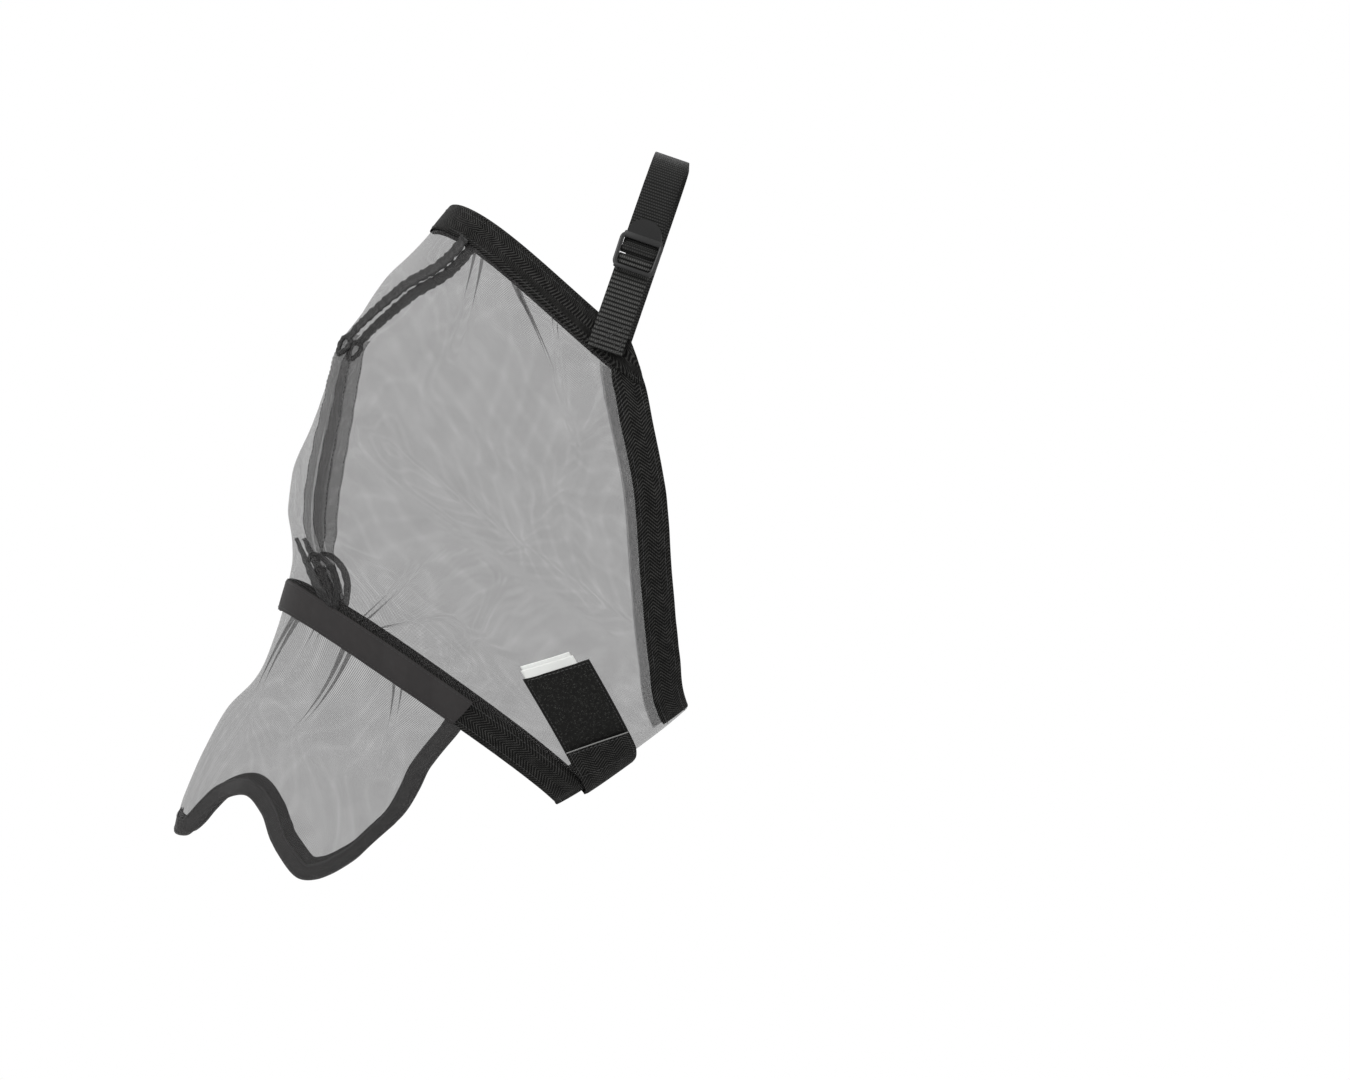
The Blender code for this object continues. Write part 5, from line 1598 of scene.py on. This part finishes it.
pileTufts = scatterTree(
    "pileTufts",
    [("Patch", "Geometry", None), ("Density", "Float", pileLook["density"]),
     ("Reach", "Float", pileLook["reach"]), ("Radius", "Float", pileLook["radius"]),
     ("Seed", "Int", pileLook["seed"]), ("Pile", "Material", None)],
    "Tufts",
    {"points": "GeometryNodeDistributePointsOnFaces", "copy": "GeometryNodeMeshCone",
     "turn": "FunctionNodeRandomValue", "spin": "GeometryNodeRotateInstances"},
    [("into", "Patch", "points", "Mesh"), ("into", "Density", "points", "Density"),
     ("into", "Seed", "points", "Seed"), ("into", "Reach", "shape", 2), ("place", 0, "spin", "Instances"),
     ("turn", 0, "spin", "Rotation"), ("into", "Seed", "turn", "Seed"), ("spin", 0, "real", 0),
     ("into", "Pile", "paint", "Material")],
    [("turn", "data_type", "FLOAT_VECTOR"), ("turn", 0, (-pileLook["lean"], -pileLook["lean"], 0.0)),
     ("turn", 1, (pileLook["lean"], pileLook["lean"], pileLook["spin"])),
     ("copy", "Vertices", pileLook["corners"]), ("copy", "Radius Top", pileLook["tip"]),
     ("copy", "Radius Bottom", 1.0), ("copy", "Depth", 1.0)],
)


def loopAndHook():
    look = closureLook
    start, stop, backing = look["loopStart"], look["loopEnd"], look["loopThick"] * look["backing"]
    patch = laidSlab("loopPatch", start, stop, look["bed"], backing, pileBlack, steps=look["loopSteps"])
    fit(patch, "hook_and_loop", "mask", "loop_patch")
    inset, grid = pileLook["inset"], pileLook["grid"]
    around = np.linspace(start + inset, stop - inset, grid[0])[:, None]
    across = np.linspace(patchSpan[0] + inset, patchSpan[1] - inset, grid[1])[None, :]
    height = np.full(grid, look["bed"] + backing)
    base = gridSheet("pileBase", closurePlace(across, around, height), pileBlack)
    values = {label: pileLook[label.lower()] for label in ("Density", "Reach", "Radius", "Seed")}
    fit(runTree("loopPile", base, pileTufts, {**values, "Pile": tuftBlack}), "hook_and_loop", "mask")
    start, low = look["tabReach"] - look["hookLength"], look["bed"] + look["loopThick"] + look["gap"]
    stop = look["tabReach"] - look["hookShort"]
    hook = laidSlab("hookPatch", start, stop, low, look["hookThick"], pileBlack)
    fit(hook, "hook_and_loop", "tab_body", "hook_patch")


def closingTab():
    look = closureLook
    hinge, foot, reach = look["tabHinge"], look["tabFoot"], look["tabReach"]
    first, last = look["rampEnds"]
    bends = [(hinge - look["tabBend"], foot), (hinge + look["rampRise"], tabBed)]
    ramp = curveThrough([(first, foot), *bends, (last, tabBed)])
    base, thick = hinge - look["tabBase"], look["tabThick"]
    tab = laidSlab("closingTab", base, reach, ramp, thick, twillBlack, steps=look["tabSteps"])
    start, end = (
        tuple(closurePlace(np.array([0.0]), np.array([hinge + d]), np.array([tabBed]))[0])
        for d in look["bendSpan"]
    )

    def tabBlend(piece):
        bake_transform(piece)

    fit(tab, "tape", tabBlend, "closure_tab", "closure_tab_base")


# lays the light grey cord across the tab's end, a painted highlight along that edge
def tabEdgeHighlight():
    look = edgeHighlightLook
    across = np.linspace(patchSpan[0] + look["short"], patchSpan[1] - look["short"], look["steps"])
    height = np.full(look["steps"], tabBed + closureLook["tabThick"] * look["height"])
    line = closurePlace(across, np.full(look["steps"], closureLook["tabReach"] + look["out"]), height)
    fit(cordMesh("tabEdgeHighlight", line, look["radius"], edgeHighlightGrey), "tape", "tab_body")


def closureStitches():
    look = closureLook
    hinge, reach, thick = look["tabHinge"], look["tabReach"], look["tabThick"]
    patchInset, tabInset, footInset = look["stitchInset"]
    patch = rectLine(look["loopStart"], look["loopEnd"], patchInset, look["bed"] + look["loopThick"])
    stitchLines("patchStitch", [patch], "mask", "hook_and_loop")
    tab = rectLine(reach - look["hookLength"], reach, tabInset, tabBed + thick + look["stitchLift"])
    stitchLines("tabStitch", [tab], "tab_body")
    height = look["tabFoot"] + thick + look["stitchLift"]
    foot = rectLine(hinge - look["tabBase"], hinge - look["tabBend"], footInset, height)
    stitchLines("tabFootStitch", [foot], "mask")


def blankLabel():
    look, bed, end = labelLook, closureLook["bed"], closureLook["loopEnd"]
    half, thick = look["width"] / 2, look["thick"]
    start, stop = end - look["tuck"], end + look["height"]
    span = (look["offset"] - half, look["offset"] + half)
    folded = (span[0] - look["foldWider"], span[1] + look["foldWider"])
    for name, last, low, width, nodes in (
        ("blankLabel", stop, bed - thick, span, ["label"]),
        ("labelFold", stop - look["foldShort"], bed + look["foldLift"], folded, []),
    ):
        made = laidSlab(name, start, last, low, thick, labelWhite, width, look["steps"], look["waver"])
        fit(made, "label", "mask", *nodes)


loopAndHook()
closingTab()
tabEdgeHighlight()
closureStitches()
blankLabel()
print("closure ready")


# studio

studioLook = {
    "floor": -0.74, "floorHalf": 0.62, "floorShift": -0.15, "floorGrey": 0.86, "backLow": 0.40,
    "floorFinish": (0.8, 0.0, 0.2),  # roughness, sheen, specular
    "distance": 4.2, "frameWide": 0.945, "centre": (0.0021, 0.0, -0.2674), "plane": -0.06, "sensor": 36.0,
    "aim": (-0.1, 0, -0.25),
    "lights": [  # name, place, size, power
        ("keyLight", (-1.0, -1.7, 1.6), 1.1, 62), ("fillLight", (1.6, -1.5, 0.4), 1.6, 16),
        ("backLight", (-0.2, 1.7, 1.4), 1.4, 26),
    ],
}


def studioFloor():
    look = studioLook
    half, shift = look["floorHalf"], look["floorShift"]
    mesh = bpy.data.meshes.new("studioFloor")
    corners = [(-half, -half), (half, -half), (half, half), (-half, half)]
    mesh.from_pydata([(x + shift, y, look["floor"]) for x, y in corners], [], [(0, 1, 2, 3)])
    mesh.materials.append(newFinish("paleFloor", (look["floorGrey"],) * 3, *look["floorFinish"])[0])
    putIn("studioFloor", mesh)


def studioLight():
    scene.world = bpy.data.worlds.new("studio")
    scene.world.use_nodes = True
    tree = scene.world.node_tree
    path = tree.nodes.new("ShaderNodeLightPath")
    seen = mathNode(tree, "MAXIMUM", path.outputs["Is Camera Ray"], path.outputs["Is Glossy Ray"])
    seen = mathNode(tree, "MAXIMUM", seen, path.outputs["Is Transmission Ray"])
    back = tree.nodes["Background"]
    back.inputs["Color"].default_value = (1, 1, 1, 1)
    tree.links.new(rangeNode(tree, seen, 0.0, 1.0, studioLook["backLow"], 1.0), back.inputs["Strength"])
    for name, place, size, power in studioLook["lights"]:
        lamp = bpy.data.lights.new(name, "AREA")
        lamp.energy, lamp.size = power, size
        holder = putIn(name, lamp)
        holder.location = place
        towards = Vector(studioLook["aim"]) - Vector(place)
        holder.rotation_euler = towards.to_track_quat("-Z", "Y").to_euler()


def photoCamera():
    look = studioLook
    camera = putIn("photoCamera", bpy.data.cameras.new("photoCamera"))
    camera.data.sensor_width = look["sensor"]
    camera.data.sensor_fit = "HORIZONTAL"
    camera.data.lens = look["sensor"] * (look["distance"] + look["plane"]) / look["frameWide"]
    camera.location = (look["centre"][0], -look["distance"], look["centre"][2])
    camera.rotation_euler = (math.pi / 2, 0, 0)
    scene.camera = camera


studioFloor()
studioLight()
photoCamera()
print("studio ready")
